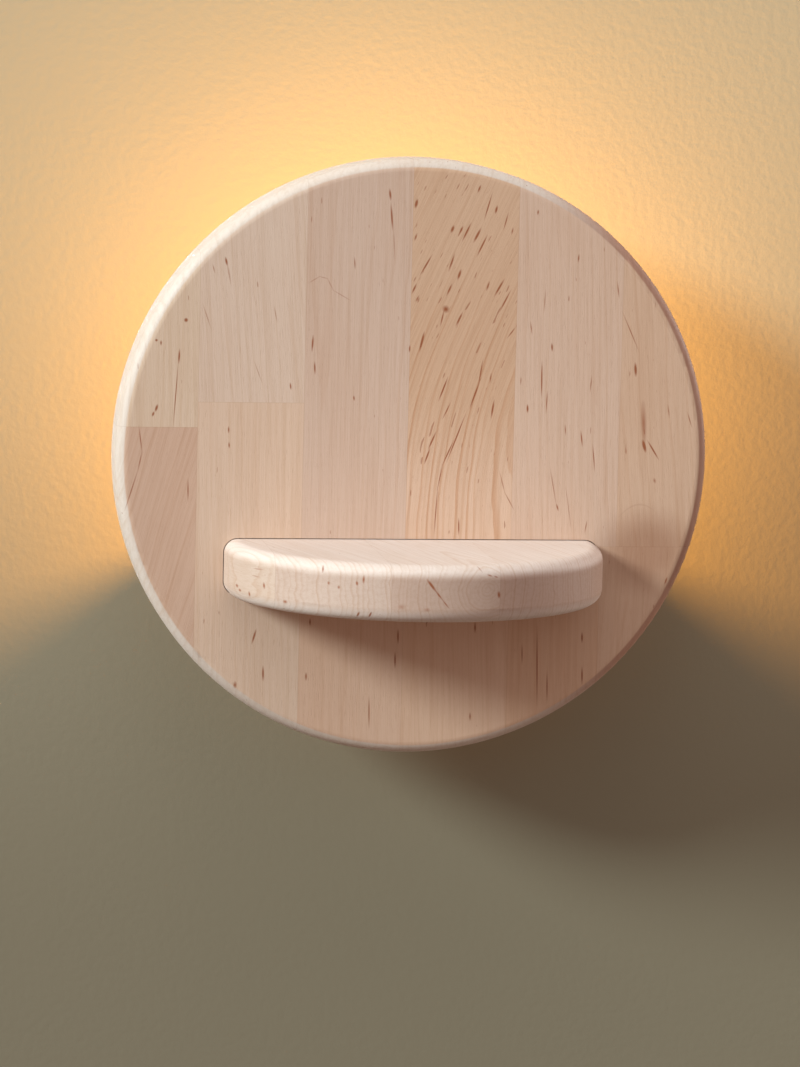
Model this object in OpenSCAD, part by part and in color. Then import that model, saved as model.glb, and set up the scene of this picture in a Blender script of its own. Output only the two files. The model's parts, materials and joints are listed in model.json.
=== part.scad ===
// Wall lamp with shelf: a round wooden disc stands off the wall, a half-moon shelf passes through
// a slot in it to the wall, and a small bulb behind the disc throws its light onto the wall.
// Millimetres. Origin on the wall behind the middle of the disc. +Z up, the front faces -Y.

/* [Disc] */
// Diameter of the disc
disc_d = 300; // [270:5:340]
// Thickness of the disc
disc_t = 28; // [24:1:34]
// Radius of the rounded front edge of the disc
disc_front_round = 6; // [4:0.5:9]
// Radius of the rounded back edge of the disc
disc_back_round = 3; // [1:0.5:5]
// Gap between the wall and the back of the disc
wall_gap = 45; // [43:1:60]

/* [Shelf] */
// Width of the shelf, which is also the diameter of its half-moon
shelf_w = 190; // [170:2:200]
// Straight side between the disc and the half-moon
shelf_side = 5; // [2:1:25]
// Thickness of the shelf board
shelf_t = 28; // [24:1:34]
// Radius of the rounded edge of the shelf
shelf_round = 7; // [4:0.5:10]
// Height of the middle of the disc over the middle of the shelf board
shelf_drop = 55; // [52:1:64]
// Gap round the shelf in the slot of the disc
slot_gap = 0.4; // [0.2:0.1:0.8]
// Gap between the back edge of the shelf and the wall, filled by the bumpers
bumper_t = 1.5; // [1:0.1:2.2]
// Diameter of the two bumpers
bumper_d = 16; // [10:1:22]
// Distance between the two bumpers
bumper_spacing = 156; // [130:2:160]

/* [Wall plate] */
// Width of the wall plate
plate_w = 136; // [132:1:150]
// Height of the wall plate
plate_h = 56; // [52:1:57]
// Thickness of the wall plate
plate_t = 2; // [1.5:0.1:2.5]
// Corner radius of the wall plate
plate_corner = 6; // [2:1:10]
// Height of the middle of the wall plate
plate_z = -2; // [-2:0.5:2]
// Distance between the two wall screws
wall_screw_spacing = 120; // [114:1:122]
// Diameter of the wall screw holes
wall_screw_hole = 4.5; // [4:0.1:5.5]
// Bore of the cable grommet
cable_bore = 8; // [6:0.5:9]
// Wall of the grommet round its bore
grommet_wall = 2; // [1.5:0.1:2.5]
// How far the rim of the grommet reaches past its wall
grommet_rim = 2.5; // [1.5:0.1:3]
// Thickness of the rim of the grommet
grommet_rim_t = 1.5; // [1:0.1:2]
// Height of the cable inlet
cable_z = -14; // [-15:0.5:-12]

/* [Hooks] */
// Width of each hook
hook_w = 12; // [8:1:16]
// Distance between the two hooks
hook_spacing = 64; // [56:1:70]
// Height of the underside of the hooks
hook_z = 2; // [0:0.5:4]
// Height of the lip of each hook
hook_lip = 8; // [6:0.5:9]
// Inner bend radius of the hooks
hook_bend = 1; // [0.6:0.1:1.4]
// Play of the bracket between the wall plate and the lip
hook_play = 1.1; // [0.6:0.1:1.6]
// How far the lamp lifts before it comes off its hooks
lift = 10; // [9.5:0.5:10.5]

/* [Back bracket] */
// Width of the back bracket
bracket_w = 100; // [96:1:104]
// Thickness of the sheet of the back bracket
bracket_t = 1.5; // [1.2:0.1:2]
// Height of the upper edge of the back bracket
bracket_top = 22; // [18:1:30]
// Inner bend radius of the back bracket
bracket_bend = 1.5; // [1:0.1:2.5]
// Length of the gussets at the ends of the back bracket
gusset = 15; // [8:1:18]
// Gap between the back of the bracket and the wall plate
hang_gap = 0.3; // [0.2:0.05:0.5]
// Distance from the bracket screws to the ends of the bracket
bracket_screw_inset = 6; // [5.5:0.5:7]
// Distance from the rear bracket screws to the upright sheet
bracket_screw_back = 6; // [5.5:0.5:7]
// Distance from the front bracket screws to the front edge of the flange
bracket_screw_front = 7.5; // [6:0.5:10]

/* [Shelf angles] */
// Distance between the two angles under the shelf
angle_spacing = 124; // [110:2:136]
// Width of each angle
angle_w = 16; // [12:1:20]
// Leg length of each angle
angle_leg = 25; // [22:1:30]
// Thickness of each angle
angle_t = 2; // [1.5:0.1:3]

/* [Heat shield] */
// Width of the heat shield on the back of the disc
shield_w = 108; // [104:1:130]
// Height of the heat shield
shield_h = 84; // [70:1:100]
// Thickness of its sheet
shield_t = 1; // [0.6:0.1:1.2]
// Height of its upstand
shield_lip = 3; // [2:0.5:5]
// Distance from its screws to its edge
shield_screw_inset = 8; // [7:0.5:12]

/* [Lampholder and bulb] */
// Width of the ceramic lampholder
holder_w = 18; // [17:0.5:20]
// Depth of the ceramic lampholder
holder_d = 13; // [12:0.5:14.5]
// Height of the ceramic lampholder
holder_h = 20; // [19:0.5:24]
// Distance between the two pins of the bulb
pin_spacing = 9; // [8.5:0.25:9.5]
// Length of the pins
pin_l = 7; // [6:0.25:8]
// Thickness of the pin wire
pin_wire = 0.8; // [0.6:0.1:1]
// Width of each pin loop between wire centres
pin_loop = 2; // [1.6:0.1:2.4]
// Depth of the neck of the bulb in the lampholder
neck_h = 6; // [5:0.25:7]
// Diameter of the bulb
bulb_d = 16; // [14:0.5:18]
// Height of the frosted cover of the bulb
bulb_h = 35; // [28:1:42]
// Wall of the frosted cover
bulb_wall = 1; // [0.6:0.1:1.5]
// Thickness of the saddle sheet that holds the lampholder
saddle_t = 1; // [0.8:0.1:1.5]

/* [Terminal block] */
// Distance between neighbouring poles
pole_pitch = 9; // [8.5:0.25:10.5]
// Width of the terminal block along the wires
terminal_w = 15; // [14:0.5:16]
// Height of the terminal block
terminal_h = 13; // [12.5:0.5:15]
// Gap between the terminal cover and the bracket screws beside it
terminal_gap = 2.7; // [1:0.1:4]
// Wall of the terminal cover
cover_wall = 1.2; // [1:0.1:1.6]
// Diameter of the insulated leads
lead_d = 2.2; // [1.8:0.1:2.6]

/* [Screws] */
// Diameter of the wood screws that carry load
screw_d = 4; // [3.5:0.1:4.5]
// Length of the wood screws that carry load
screw_l = 20; // [14:1:22]
// Diameter of the small wood screws
small_screw_d = 3; // [2.5:0.1:3.5]
// Length of the small wood screws
small_screw_l = 12; // [8:1:16]

/* [Hidden] */
$fn = 96;

// Clearances
pilot = 0.05;         // round a screw in its wood
pass = 0.3;           // round a screw in sheet metal, and between pieces that move apart
seat = 0.1;           // between pieces that are fitted together
over = 1;             // how far a cutting shape runs past what it cuts

// Screws' heads, and the two thin screws of the terminal block
load_head_d = screw_d * 1.9;
load_head_h = screw_d * 0.65;
small_head_d = small_screw_d * 2;
small_head_h = small_screw_d * 0.7;
fixing_d = 2.4;
fixing_l = 12;
fixing_head_d = fixing_d * 1.6;
fixing_head_h = fixing_d * 0.6;
fixing_seat = 4;                        // from the flange up to their heads

// Disc and shelf
disc_r = disc_d / 2;
disc_back = -wall_gap;
disc_front = disc_back - disc_t;
shelf_centre = disc_front - shelf_side;
shelf_back = -bumper_t;
shelf_top = -shelf_drop + shelf_t / 2;
shelf_under = -shelf_drop - shelf_t / 2;

// Bracket sheet, its flange on the shelf and the hooks that it hangs on
sheet_back = -plate_t - hang_gap;
sheet_front = sheet_back - bracket_t;
bracket_end = bracket_w / 2;
flange_top = shelf_top + bracket_t;
flange_setback = 3.5;                   // from the back of the disc to the flange
flange_front = disc_back + flange_setback;
flange_corner = 4;
mid_y = (sheet_front - bracket_bend + disc_back + shield_lip) / 2;
hook_seat = hook_z + plate_t;
hook_slot_top = hook_seat + pass;
hook_slot_spare = 0.8;                  // under the hook when the lamp is lifted
hook_slot_bottom = hook_z - lift - hook_slot_spare;
hook_slot_side = 1;
lip_back = sheet_front - hook_play;
grommet_r = cable_bore / 2 + grommet_wall;
grommet_rim_r = grommet_r + grommet_rim;
opening_r = grommet_rim_r + 1;

// Lampholder, bulb and saddle, from the flange up
saddle_top = flange_top + saddle_t;
holder_top = saddle_top + holder_h;
holder_corner = 3;
neck_corner = 2;
neck_wall_x = 1.5;
neck_wall_y = 2.5;
neck_w = holder_w - 2 * neck_wall_x;
neck_d = holder_d - 2 * neck_wall_y;
neck_bottom = holder_top - neck_h + pass;
collar_bottom = holder_top + pass;
collar_h = 6;
collar_top = collar_bottom + collar_h;
spigot_h = 2;
well_play = 0.7;                        // beside a pin in its well
well_w = pin_loop + pin_wire + 2 * well_play;
contact_t = 0.4;
contact_play = 0.2;                     // behind a contact leaf and under it
contact_y = pin_wire / 2 + pass;
well_d = 2 * (contact_y + contact_t + contact_play);
well_depth = pin_l + 2;
well_bottom = holder_top - neck_h - well_depth;
saddle_w = 10;
saddle_corner = 3;
ear_w = 8;
ear_h = 12;
ear_corner = 2;
ear_x = holder_w / 2 + seat;
foot_edge = 4;                          // from a saddle screw to the end of its foot
holder_screw_y = holder_d / 2 + pass + small_head_d / 2;

// Light source on its carrier
core_w = bulb_d * 0.55;                 // across the corners of the hexagon
core_headroom = 3;
core_h = bulb_h - bulb_d / 2 - core_headroom;
led_rows = 4;
led_t = 0.6;

// Terminal block
cover_gap_x = 2.3;
cover_gap_y = 0.7;
cover_right = bracket_end - bracket_screw_inset - load_head_d / 2 - terminal_gap;
terminal_x = cover_right - cover_wall - cover_gap_x - terminal_w;
pole_y = [for (i = [-1:1]) mid_y + i * pole_pitch];
terminal_l = 3 * pole_pitch;
terminal_mid = terminal_x + terminal_w / 2;
pole_z = flange_top + terminal_h / 2;
core_r = 2.2;
core_bore = 1.4;
core_inset = 1;                         // from the side of the block to a core
clamp_inset = 3.5;                      // from the side of the block to a clamping screw
clamp_screw_x = terminal_w / 2 - clamp_inset;
clamp_screw_r = 1.4;
cover_w = terminal_w + 2 * (cover_gap_x + cover_wall);
cover_l = terminal_l + 2 * (cover_gap_y + cover_wall);
cover_headroom = 4.5;
cover_h = terminal_h + cover_headroom;
cover_corner = 3;
ear_l = 9;

// Earth point, left of the lampholder
earth_inset = 18;                       // from the end of the bracket
earth_x = -bracket_end + earth_inset;
tag_t = 0.8;
tag_r = 4;
tag_barrel_r = 1.6;
tag_barrel_l = 4;

// Ends and bends of the leads
lead_end = terminal_x + core_inset - seat;
lead_bend = lead_d;

// ---------------------------------------------------------------- shared shapes

module rounded_rect(w, h, r) {
    square([w - 2 * r, h], center = true);
    square([w, h - 2 * r], center = true);
    for (x = [-1, 1], y = [-1, 1]) translate([x * (w / 2 - r), y * (h / 2 - r)]) circle(r);
}

// Extrudes a flat shape towards the front, from the plane y = from, by depth.
module towards_front(from, depth) {
    translate([0, from, 0]) rotate([90, 0, 0]) linear_extrude(depth) children();
}

// Extrudes a shape drawn as (y, z) along X, centred on the place x.
module along_x(x, w) {
    translate([x - w / 2, 0, 0]) rotate([90, 0, 90]) linear_extrude(w) children();
}

module quarter_ring(r, t) {
    difference() {
        circle(r + t);
        circle(r);
        translate([-r - t - over, -r - t - over]) square([r + t + over, 2 * (r + t + over)]);
        translate([-over, -r - t - over]) square([r + t + 2 * over, r + t + over]);
    }
}

// A pan head screw on the plane z = 0, its shank pointing down.
module screw(d, length, head_d, head_h) {
    tip = min(d, length / 4);
    recess_l = head_d / 2;
    recess_w = head_d / 8;
    recess_z = head_h * 0.45;
    difference() {
        rotate_extrude() intersection() {
            union() {
                square([head_d / 2 - head_h / 2, head_h]);
                square([head_d / 2, head_h / 2]);
                translate([head_d / 2 - head_h / 2, head_h / 2]) circle(head_h / 2);
            }
            square([head_d, head_h]);
        }
        for (a = [0, 90]) rotate([0, 0, a])
            translate([-recess_l / 2, -recess_w / 2, recess_z]) cube([recess_l, recess_w, head_h]);
    }
    translate([0, 0, tip - length]) cylinder(h = length - tip, d = d);
    translate([0, 0, -length]) cylinder(h = tip, d1 = d * 0.2, d2 = d);
}

module load_screw() screw(screw_d, screw_l, load_head_d, load_head_h);
module small_screw() screw(small_screw_d, small_screw_l, small_head_d, small_head_h);
module pilot_hole(d, length)
    translate([0, 0, -length - pilot]) cylinder(h = length + 2 * pilot, r = d / 2 + pilot);
module pass_hole(d, t)
    translate([0, 0, -t - over]) cylinder(h = t + 2 * over, r = d / 2 + pass);

// Places its children at each point with their +Z turned towards the wall or away from the ceiling.
module facing_wall(points) for (p = points) translate(p) rotate([-90, 0, 0]) children();
module facing_up(points) for (p = points) translate(p) children();
module facing_down(points) for (p = points) translate(p) rotate([180, 0, 0]) children();

function unit(v) = v / norm(v);
function turn(a, b, c) = acos(min(1, max(-1, unit(b - a) * unit(c - b))));
function trim(points, i, bend) =
    i == 0 || i == len(points) - 1 ? 0 : bend * tan(turn(points[i - 1], points[i], points[i + 1]) / 2);

// A round wire along points, with bends of the given radius at the inner ones.
module wire(points, r, bend) {
    last = len(points) - 1;
    for (i = [0:last - 1]) {
        along = unit(points[i + 1] - points[i]);
        start = points[i] + along * trim(points, i, bend);
        reach = norm(points[i + 1] - points[i]) - trim(points, i, bend) - trim(points, i + 1, bend);
        translate(start) rotate([0, acos(along.z), atan2(along.y, along.x)]) cylinder(h = reach, r = r);
    }
    for (i = [1:last - 1]) {
        in_dir = unit(points[i] - points[i - 1]);
        out_dir = unit(points[i + 1] - points[i]);
        reach = trim(points, i, bend);
        angle = turn(points[i - 1], points[i], points[i + 1]);
        centre = points[i] + unit(out_dir - in_dir) * bend / cos(angle / 2);
        to_start = unit(points[i] - in_dir * reach - centre);
        to_end = unit(points[i] + out_dir * reach - centre);
        backwards = abs(to_start.z) > abs(to_end.z);
        radial = backwards ? to_end : to_start;
        tangent = backwards ? -out_dir : in_dir;
        normal = cross(radial, tangent);
        translate(centre)
            rotate([atan2(tangent.z, normal.z), -asin(radial.z), atan2(radial.y, radial.x)])
            rotate_extrude(angle = angle) translate([bend, 0]) circle(r);
    }
}

// ---------------------------------------------------------------- places of the screws

shield_foot_gap = 5;                    // from the shelf up to the heat shield
bracket_screw_rows = [flange_front + bracket_screw_front, sheet_front - bracket_screw_back];
bracket_screw_places = [for (x = [-1, 1], y = bracket_screw_rows)
    [x * (bracket_end - bracket_screw_inset), y, flange_top]];
shield_centre_z = shelf_top + shield_foot_gap + shield_h / 2;
shield_screw_places = [for (x = [-1, 1], z = [-1, 1])
    [x * (shield_w / 2 - shield_screw_inset), disc_back + shield_t,
     shield_centre_z + z * (shield_h / 2 - shield_screw_inset)]];
angle_hole = angle_leg * 0.65;          // from the corner of an angle to its holes
angle_disc_places = [for (x = [-1, 1])
    [x * angle_spacing / 2, disc_back + angle_t, shelf_under - angle_hole]];
angle_shelf_places = [for (x = [-1, 1])
    [x * angle_spacing / 2, disc_back + angle_hole, shelf_under - angle_t]];
holder_screw_places = [for (y = [-1, 1]) [0, mid_y + y * holder_screw_y, saddle_top]];
fixing_places = [for (y = [-1, 1])
    [terminal_mid, mid_y + y * pole_pitch / 2, flange_top + fixing_seat]];
cover_screw_place = [cover_right + ear_l / 2, mid_y, flange_top + cover_wall];
earth_place = [earth_x, mid_y, flange_top + tag_t];
clamp_places = [for (x = [-1, 1], y = pole_y) [terminal_mid + x * clamp_screw_x, y, pole_z]];

// ---------------------------------------------------------------- wall side

module hook_profile() {
    low = [-plate_t - hook_bend, hook_z - hook_bend];
    high = [lip_back + hook_bend, hook_seat + hook_bend];
    translate(low) quarter_ring(hook_bend, plate_t);
    translate([high.x, hook_z]) square([low.x - high.x, plate_t]);
    translate(high) rotate(180) quarter_ring(hook_bend, plate_t);
    translate([lip_back - plate_t, high.y]) square([plate_t, hook_seat + hook_lip - high.y]);
    translate([-plate_t, low.y - over]) square([plate_t, over]);
}

module wall_plate() {
    window_bottom = hook_z - hook_bend;
    window_spare = 4;
    window_h = hook_lip + hook_bend + plate_t + window_spare;
    color("whitesmoke") {
        difference() {
            towards_front(0, plate_t) translate([0, plate_z]) rounded_rect(plate_w, plate_h, plate_corner);
            for (x = [-1, 1]) translate([x * wall_screw_spacing / 2, over, plate_z])
                rotate([90, 0, 0]) cylinder(h = plate_t + 2 * over, d = wall_screw_hole);
            translate([0, over, cable_z]) rotate([90, 0, 0]) cylinder(h = plate_t + 2 * over, r = grommet_r);
            for (x = [-1, 1])
                translate([x * hook_spacing / 2 - hook_w / 2 - pass, -plate_t - over, window_bottom])
                    cube([hook_w + 2 * pass, plate_t + 2 * over, window_h]);
        }
        for (x = [-1, 1]) along_x(x * hook_spacing / 2, hook_w) hook_profile();
    }
}

module cable_grommet() {
    color("dimgray") translate([0, 0, cable_z]) rotate([90, 0, 0]) rotate_extrude() {
        translate([cable_bore / 2, 0]) square([grommet_wall - pilot, plate_t + grommet_rim_t]);
        translate([cable_bore / 2, plate_t]) square([grommet_rim_r - cable_bore / 2, grommet_rim_t]);
    }
}

// ---------------------------------------------------------------- wood

module slot_shape(grow) {
    translate([0, -shelf_drop])
        rounded_rect(shelf_w + 2 * grow, shelf_t + 2 * grow, shelf_round + grow);
}

module front_disc() {
    color("burlywood") difference() {
        translate([0, disc_back, 0]) rotate([90, 0, 0]) rotate_extrude($fn = 180) {
            square([disc_r - disc_front_round, disc_t]);
            square([disc_r - disc_back_round, disc_t / 2]);
            translate([0, disc_back_round])
                square([disc_r, disc_t - disc_back_round - disc_front_round]);
            translate([disc_r - disc_front_round, disc_t - disc_front_round]) circle(disc_front_round);
            translate([disc_r - disc_back_round, disc_back_round]) circle(disc_back_round);
        }
        towards_front(disc_back + over, disc_t + 2 * over) slot_shape(slot_gap);
        facing_wall(shield_screw_places) pilot_hole(small_screw_d, small_screw_l);
        facing_wall(angle_disc_places) pilot_hole(screw_d, screw_l);
    }
}

module shelf_board() {
    color("wheat") difference() {
        union() {
            towards_front(shelf_back, shelf_back - shelf_centre) slot_shape(0);
            translate([0, shelf_centre, -shelf_drop]) rotate([0, 0, 180]) rotate_extrude(angle = 180)
                intersection() {
                    rounded_rect(shelf_w, shelf_t, shelf_round);
                    translate([0, -shelf_t]) square([shelf_w, 2 * shelf_t]);
                }
        }
        facing_up(bracket_screw_places) pilot_hole(screw_d, screw_l);
        facing_up(holder_screw_places) pilot_hole(small_screw_d, small_screw_l);
        facing_up(fixing_places) pilot_hole(fixing_d, fixing_l);
        facing_up([cover_screw_place, earth_place]) pilot_hole(small_screw_d, small_screw_l);
        facing_down(angle_shelf_places) pilot_hole(screw_d, screw_l);
    }
}

module shelf_bumpers() {
    edge = bumper_t / 3;
    color("darkslategray") for (x = [-1, 1])
        translate([x * bumper_spacing / 2, 0, -shelf_drop]) rotate([90, 0, 0]) rotate_extrude() {
            translate([0, edge]) square([bumper_d / 2, bumper_t - edge]);
            square([bumper_d / 2 - edge, bumper_t]);
            translate([bumper_d / 2 - edge, edge]) circle(edge);
        }
}

module shelf_angles() {
    color("silver") for (x = [-1, 1]) difference() {
        along_x(x * angle_spacing / 2, angle_w) {
            translate([disc_back + angle_t, shelf_under - angle_t]) square([angle_leg - angle_t, angle_t]);
            translate([disc_back, shelf_under - angle_leg]) square([angle_t, angle_leg - angle_t]);
            translate([disc_back + angle_t, shelf_under - angle_t]) intersection() {
                circle(angle_t);
                translate([-angle_t, 0]) square(angle_t);
            }
        }
        facing_wall(angle_disc_places) pass_hole(screw_d, angle_t);
        facing_down(angle_shelf_places) pass_hole(screw_d, angle_t);
    }
}

module angle_screws() {
    color("lightsteelblue") {
        facing_wall(angle_disc_places) load_screw();
        facing_down(angle_shelf_places) load_screw();
    }
}

// ---------------------------------------------------------------- bracket and shield

// The sheet bent to an L, as (y, z).
module bracket_profile() {
    bend = [sheet_front - bracket_bend, flange_top + bracket_bend];
    translate(bend) rotate(-90) quarter_ring(bracket_bend, bracket_t);
    translate([sheet_front, bend.y]) square([bracket_t, bracket_top - bend.y]);
    translate([flange_front, shelf_top]) square([bend.x - flange_front, bracket_t]);
}

// What rounding takes off at the upper right corner of a sheet that ends at the origin.
module corner_cut(r) difference() {
    translate([-r, -r]) square(r + over);
    translate([-r, -r]) circle(r);
}

module back_bracket() {
    slot_w = hook_w + 2 * hook_slot_side;
    color("white") difference() {
        union() {
            along_x(0, bracket_w) bracket_profile();
            for (x = [-1, 1]) along_x(x * (bracket_w - bracket_t) / 2, bracket_t) polygon([
                [sheet_front + bracket_t / 2, flange_top - bracket_t / 2],
                [sheet_front + bracket_t / 2, flange_top + gusset],
                [sheet_front, flange_top + gusset],
                [sheet_front - gusset, flange_top],
                [sheet_front - gusset, flange_top - bracket_t / 2]
            ]);
        }
        for (side = [0, 1]) mirror([side, 0, 0]) {
            towards_front(sheet_back + over, bracket_t + 2 * over)
                translate([bracket_end, bracket_top]) corner_cut(flange_corner);
            translate([bracket_end, flange_front, shelf_top - over])
                linear_extrude(bracket_t + 2 * over) mirror([0, 1]) corner_cut(flange_corner);
        }
        for (x = [-1, 1])
            translate([x * hook_spacing / 2 - slot_w / 2, sheet_front - over, hook_slot_bottom])
                cube([slot_w, bracket_t + 2 * over, hook_slot_top - hook_slot_bottom]);
        towards_front(sheet_back + over, bracket_t + 2 * over) {
            for (z = [cable_z, cable_z - lift]) translate([0, z]) circle(opening_r);
            translate([-opening_r, cable_z - lift]) square([2 * opening_r, lift]);
        }
        facing_up(bracket_screw_places) pass_hole(screw_d, bracket_t);
        facing_up(holder_screw_places) pass_hole(small_screw_d, saddle_t + bracket_t);
        facing_up(fixing_places) pass_hole(fixing_d, fixing_seat + bracket_t);
        facing_up([cover_screw_place]) pass_hole(small_screw_d, cover_wall + bracket_t);
        facing_up([earth_place]) pass_hole(small_screw_d, tag_t + bracket_t);
    }
}

module bracket_screws() color("lightsteelblue") facing_up(bracket_screw_places) load_screw();

module heat_shield() {
    corner = 8;
    color("gainsboro") difference() {
        towards_front(disc_back + shield_lip, shield_lip)
            translate([0, shield_centre_z]) rounded_rect(shield_w, shield_h, corner);
        towards_front(disc_back + shield_lip + over, shield_lip - shield_t + over)
            translate([0, shield_centre_z])
                rounded_rect(shield_w - 2 * shield_t, shield_h - 2 * shield_t, corner - shield_t);
        facing_wall(shield_screw_places) pass_hole(small_screw_d, shield_t);
    }
}

module shield_screws() color("lightsteelblue") facing_wall(shield_screw_places) small_screw();

// ---------------------------------------------------------------- lampholder

module holder_body() {
    color("ivory") difference() {
        translate([0, mid_y, saddle_top]) linear_extrude(holder_h)
            rounded_rect(holder_w, holder_d, holder_corner);
        translate([0, mid_y, holder_top - neck_h]) linear_extrude(neck_h + over)
            rounded_rect(neck_w + 2 * pass, neck_d + 2 * pass, neck_corner + pass);
        for (x = [-1, 1])
            translate([x * pin_spacing / 2 - well_w / 2, mid_y - well_d / 2, well_bottom])
                cube([well_w, well_d, well_depth + over]);
        translate([pin_spacing / 2, mid_y, pole_z]) rotate([0, 90, 0])
            cylinder(h = holder_w, r = lead_d / 2 + seat);
        translate([-pin_spacing / 2, mid_y, pole_z]) rotate([90, 0, 0])
            cylinder(h = holder_d, r = lead_d / 2 + seat);
    }
}

module holder_contacts() {
    leaf_w = pin_loop + pin_wire;
    leaf_bottom = well_bottom + contact_play;
    leaf_short = 1;
    leaf_h = well_depth - leaf_short;
    color("gold") for (x = [-1, 1]) translate([x * pin_spacing / 2 - leaf_w / 2, mid_y, leaf_bottom]) {
        for (y = [contact_y, -contact_y - contact_t]) translate([0, y, 0]) cube([leaf_w, contact_t, leaf_h]);
        translate([0, -contact_y - contact_t, 0]) cube([leaf_w, 2 * (contact_y + contact_t), contact_t]);
    }
}

module saddle_ear() {
    top = saddle_t + ear_h;
    translate([-ear_w / 2, 0]) square([ear_w, top - ear_corner]);
    translate([-ear_w / 2 + ear_corner, 0]) square([ear_w - 2 * ear_corner, top]);
    for (y = [-1, 1]) translate([y * (ear_w / 2 - ear_corner), top - ear_corner]) circle(ear_corner);
}

module holder_saddle() {
    foot_l = 2 * (holder_screw_y + foot_edge);
    cross_w = 2 * (ear_x + saddle_t);
    color("silver") difference() {
        translate([0, mid_y, flange_top]) {
            linear_extrude(saddle_t) {
                rounded_rect(saddle_w, foot_l, saddle_corner);
                square([cross_w, ear_w], center = true);
            }
            for (x = [-1, 1]) along_x(x * (ear_x + saddle_t / 2), saddle_t) saddle_ear();
        }
        facing_up(holder_screw_places) pass_hole(small_screw_d, saddle_t);
        translate([ear_x - over, mid_y, pole_z]) rotate([0, 90, 0])
            cylinder(h = saddle_t + 2 * over, r = lead_d / 2 + pass);
    }
}

module holder_screws() color("lightsteelblue") facing_up(holder_screw_places) small_screw();

// ---------------------------------------------------------------- bulb

module bulb_base() {
    color("white") {
        translate([0, mid_y, neck_bottom]) linear_extrude(collar_bottom - neck_bottom)
            rounded_rect(neck_w, neck_d, neck_corner);
        translate([0, mid_y, collar_bottom]) cylinder(h = collar_h, d = bulb_d);
        translate([0, mid_y, collar_top]) cylinder(h = spigot_h, r = bulb_d / 2 - bulb_wall - seat);
    }
}

module bulb_pins() {
    straight = pin_l - pin_loop / 2 - pin_wire / 2;
    color("lightgray") for (x = [-1, 1]) translate([x * pin_spacing / 2, mid_y, neck_bottom - straight]) {
        for (side = [-1, 1])
            translate([side * pin_loop / 2, 0, 0]) cylinder(h = straight, d = pin_wire, $fn = 24);
        rotate([90, 0, 180]) rotate([0, 0, 180]) rotate_extrude(angle = 180, $fn = 24)
            translate([pin_loop / 2, 0]) circle(d = pin_wire);
    }
}

module bulb_core() {
    color("lightgray") translate([0, mid_y, collar_top + spigot_h]) cylinder(h = core_h, d = core_w, $fn = 6);
}

module bulb_leds() {
    flat = core_w / 2 * cos(30);
    tile_w = core_w * 0.3;
    step = core_h / led_rows;
    tile_h = step * 0.7;
    color("gold") for (a = [30:60:330], row = [0:led_rows - 1])
        translate([0, mid_y, collar_top + spigot_h + (row + 0.5) * step]) rotate([0, 0, a])
            translate([flat, -tile_w / 2, -tile_h / 2]) cube([led_t, tile_w, tile_h]);
}

module bulb_cover() {
    color("floralwhite") translate([0, mid_y, collar_top]) rotate_extrude() difference() {
        intersection() {
            union() {
                square([bulb_d / 2, bulb_h - bulb_d / 2]);
                translate([0, bulb_h - bulb_d / 2]) circle(bulb_d / 2);
            }
            square([bulb_d, bulb_h]);
        }
        square([bulb_d / 2 - bulb_wall, bulb_h - bulb_d / 2]);
        translate([0, bulb_h - bulb_d / 2]) circle(bulb_d / 2 - bulb_wall);
    }
}

// ---------------------------------------------------------------- terminal block and leads

module terminal_body() {
    slab_h = 3.5;
    hump_gap = 1.8;
    hump_r = (pole_pitch - hump_gap) / 2;
    tower_wall = 1.5;
    color("white") difference() {
        union() {
            translate([terminal_x, mid_y - terminal_l / 2, flange_top])
                cube([terminal_w, terminal_l, slab_h]);
            for (y = pole_y) {
                translate([terminal_x, y, pole_z]) rotate([0, 90, 0]) cylinder(h = terminal_w, r = hump_r);
                translate([terminal_x, y - hump_r, flange_top + slab_h / 2])
                    cube([terminal_w, 2 * hump_r, pole_z - flange_top - slab_h / 2]);
            }
            facing_up(clamp_places) cylinder(h = terminal_h / 2, r = clamp_screw_r + tower_wall);
        }
        for (y = pole_y) translate([terminal_x - over, y, pole_z]) rotate([0, 90, 0])
            cylinder(h = terminal_w + 2 * over, r = core_r + pilot);
        facing_up(clamp_places) cylinder(h = terminal_h, r = clamp_screw_r + seat);
        facing_up(fixing_places) pass_hole(fixing_d, fixing_seat);
        facing_up(fixing_places) cylinder(h = terminal_h, r = fixing_head_d / 2 + seat);
    }
}

module terminal_cores() {
    color("gold") difference() {
        for (y = pole_y) translate([terminal_x + core_inset, y, pole_z]) rotate([0, 90, 0])
            cylinder(h = terminal_w - 2 * core_inset, r = core_r);
        for (y = pole_y) translate([terminal_x, y, pole_z]) rotate([0, 90, 0])
            cylinder(h = terminal_w, r = core_bore);
        facing_up(clamp_places) cylinder(h = terminal_h, r = clamp_screw_r + pilot);
    }
}

module terminal_screws() {
    foot = 0.6;
    sink = 0.6;
    driver_slot = 0.6;
    length = terminal_h / 2 - foot - sink;
    color("lightsteelblue") facing_up(clamp_places) difference() {
        translate([0, 0, foot]) cylinder(h = length, r = clamp_screw_r);
        translate([-clamp_screw_r * 2, -driver_slot / 2, length])
            cube([clamp_screw_r * 4, driver_slot, over]);
    }
}

module terminal_fixings() {
    color("lightsteelblue") facing_up(fixing_places)
        screw(fixing_d, fixing_l, fixing_head_d, fixing_head_h);
}

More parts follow.
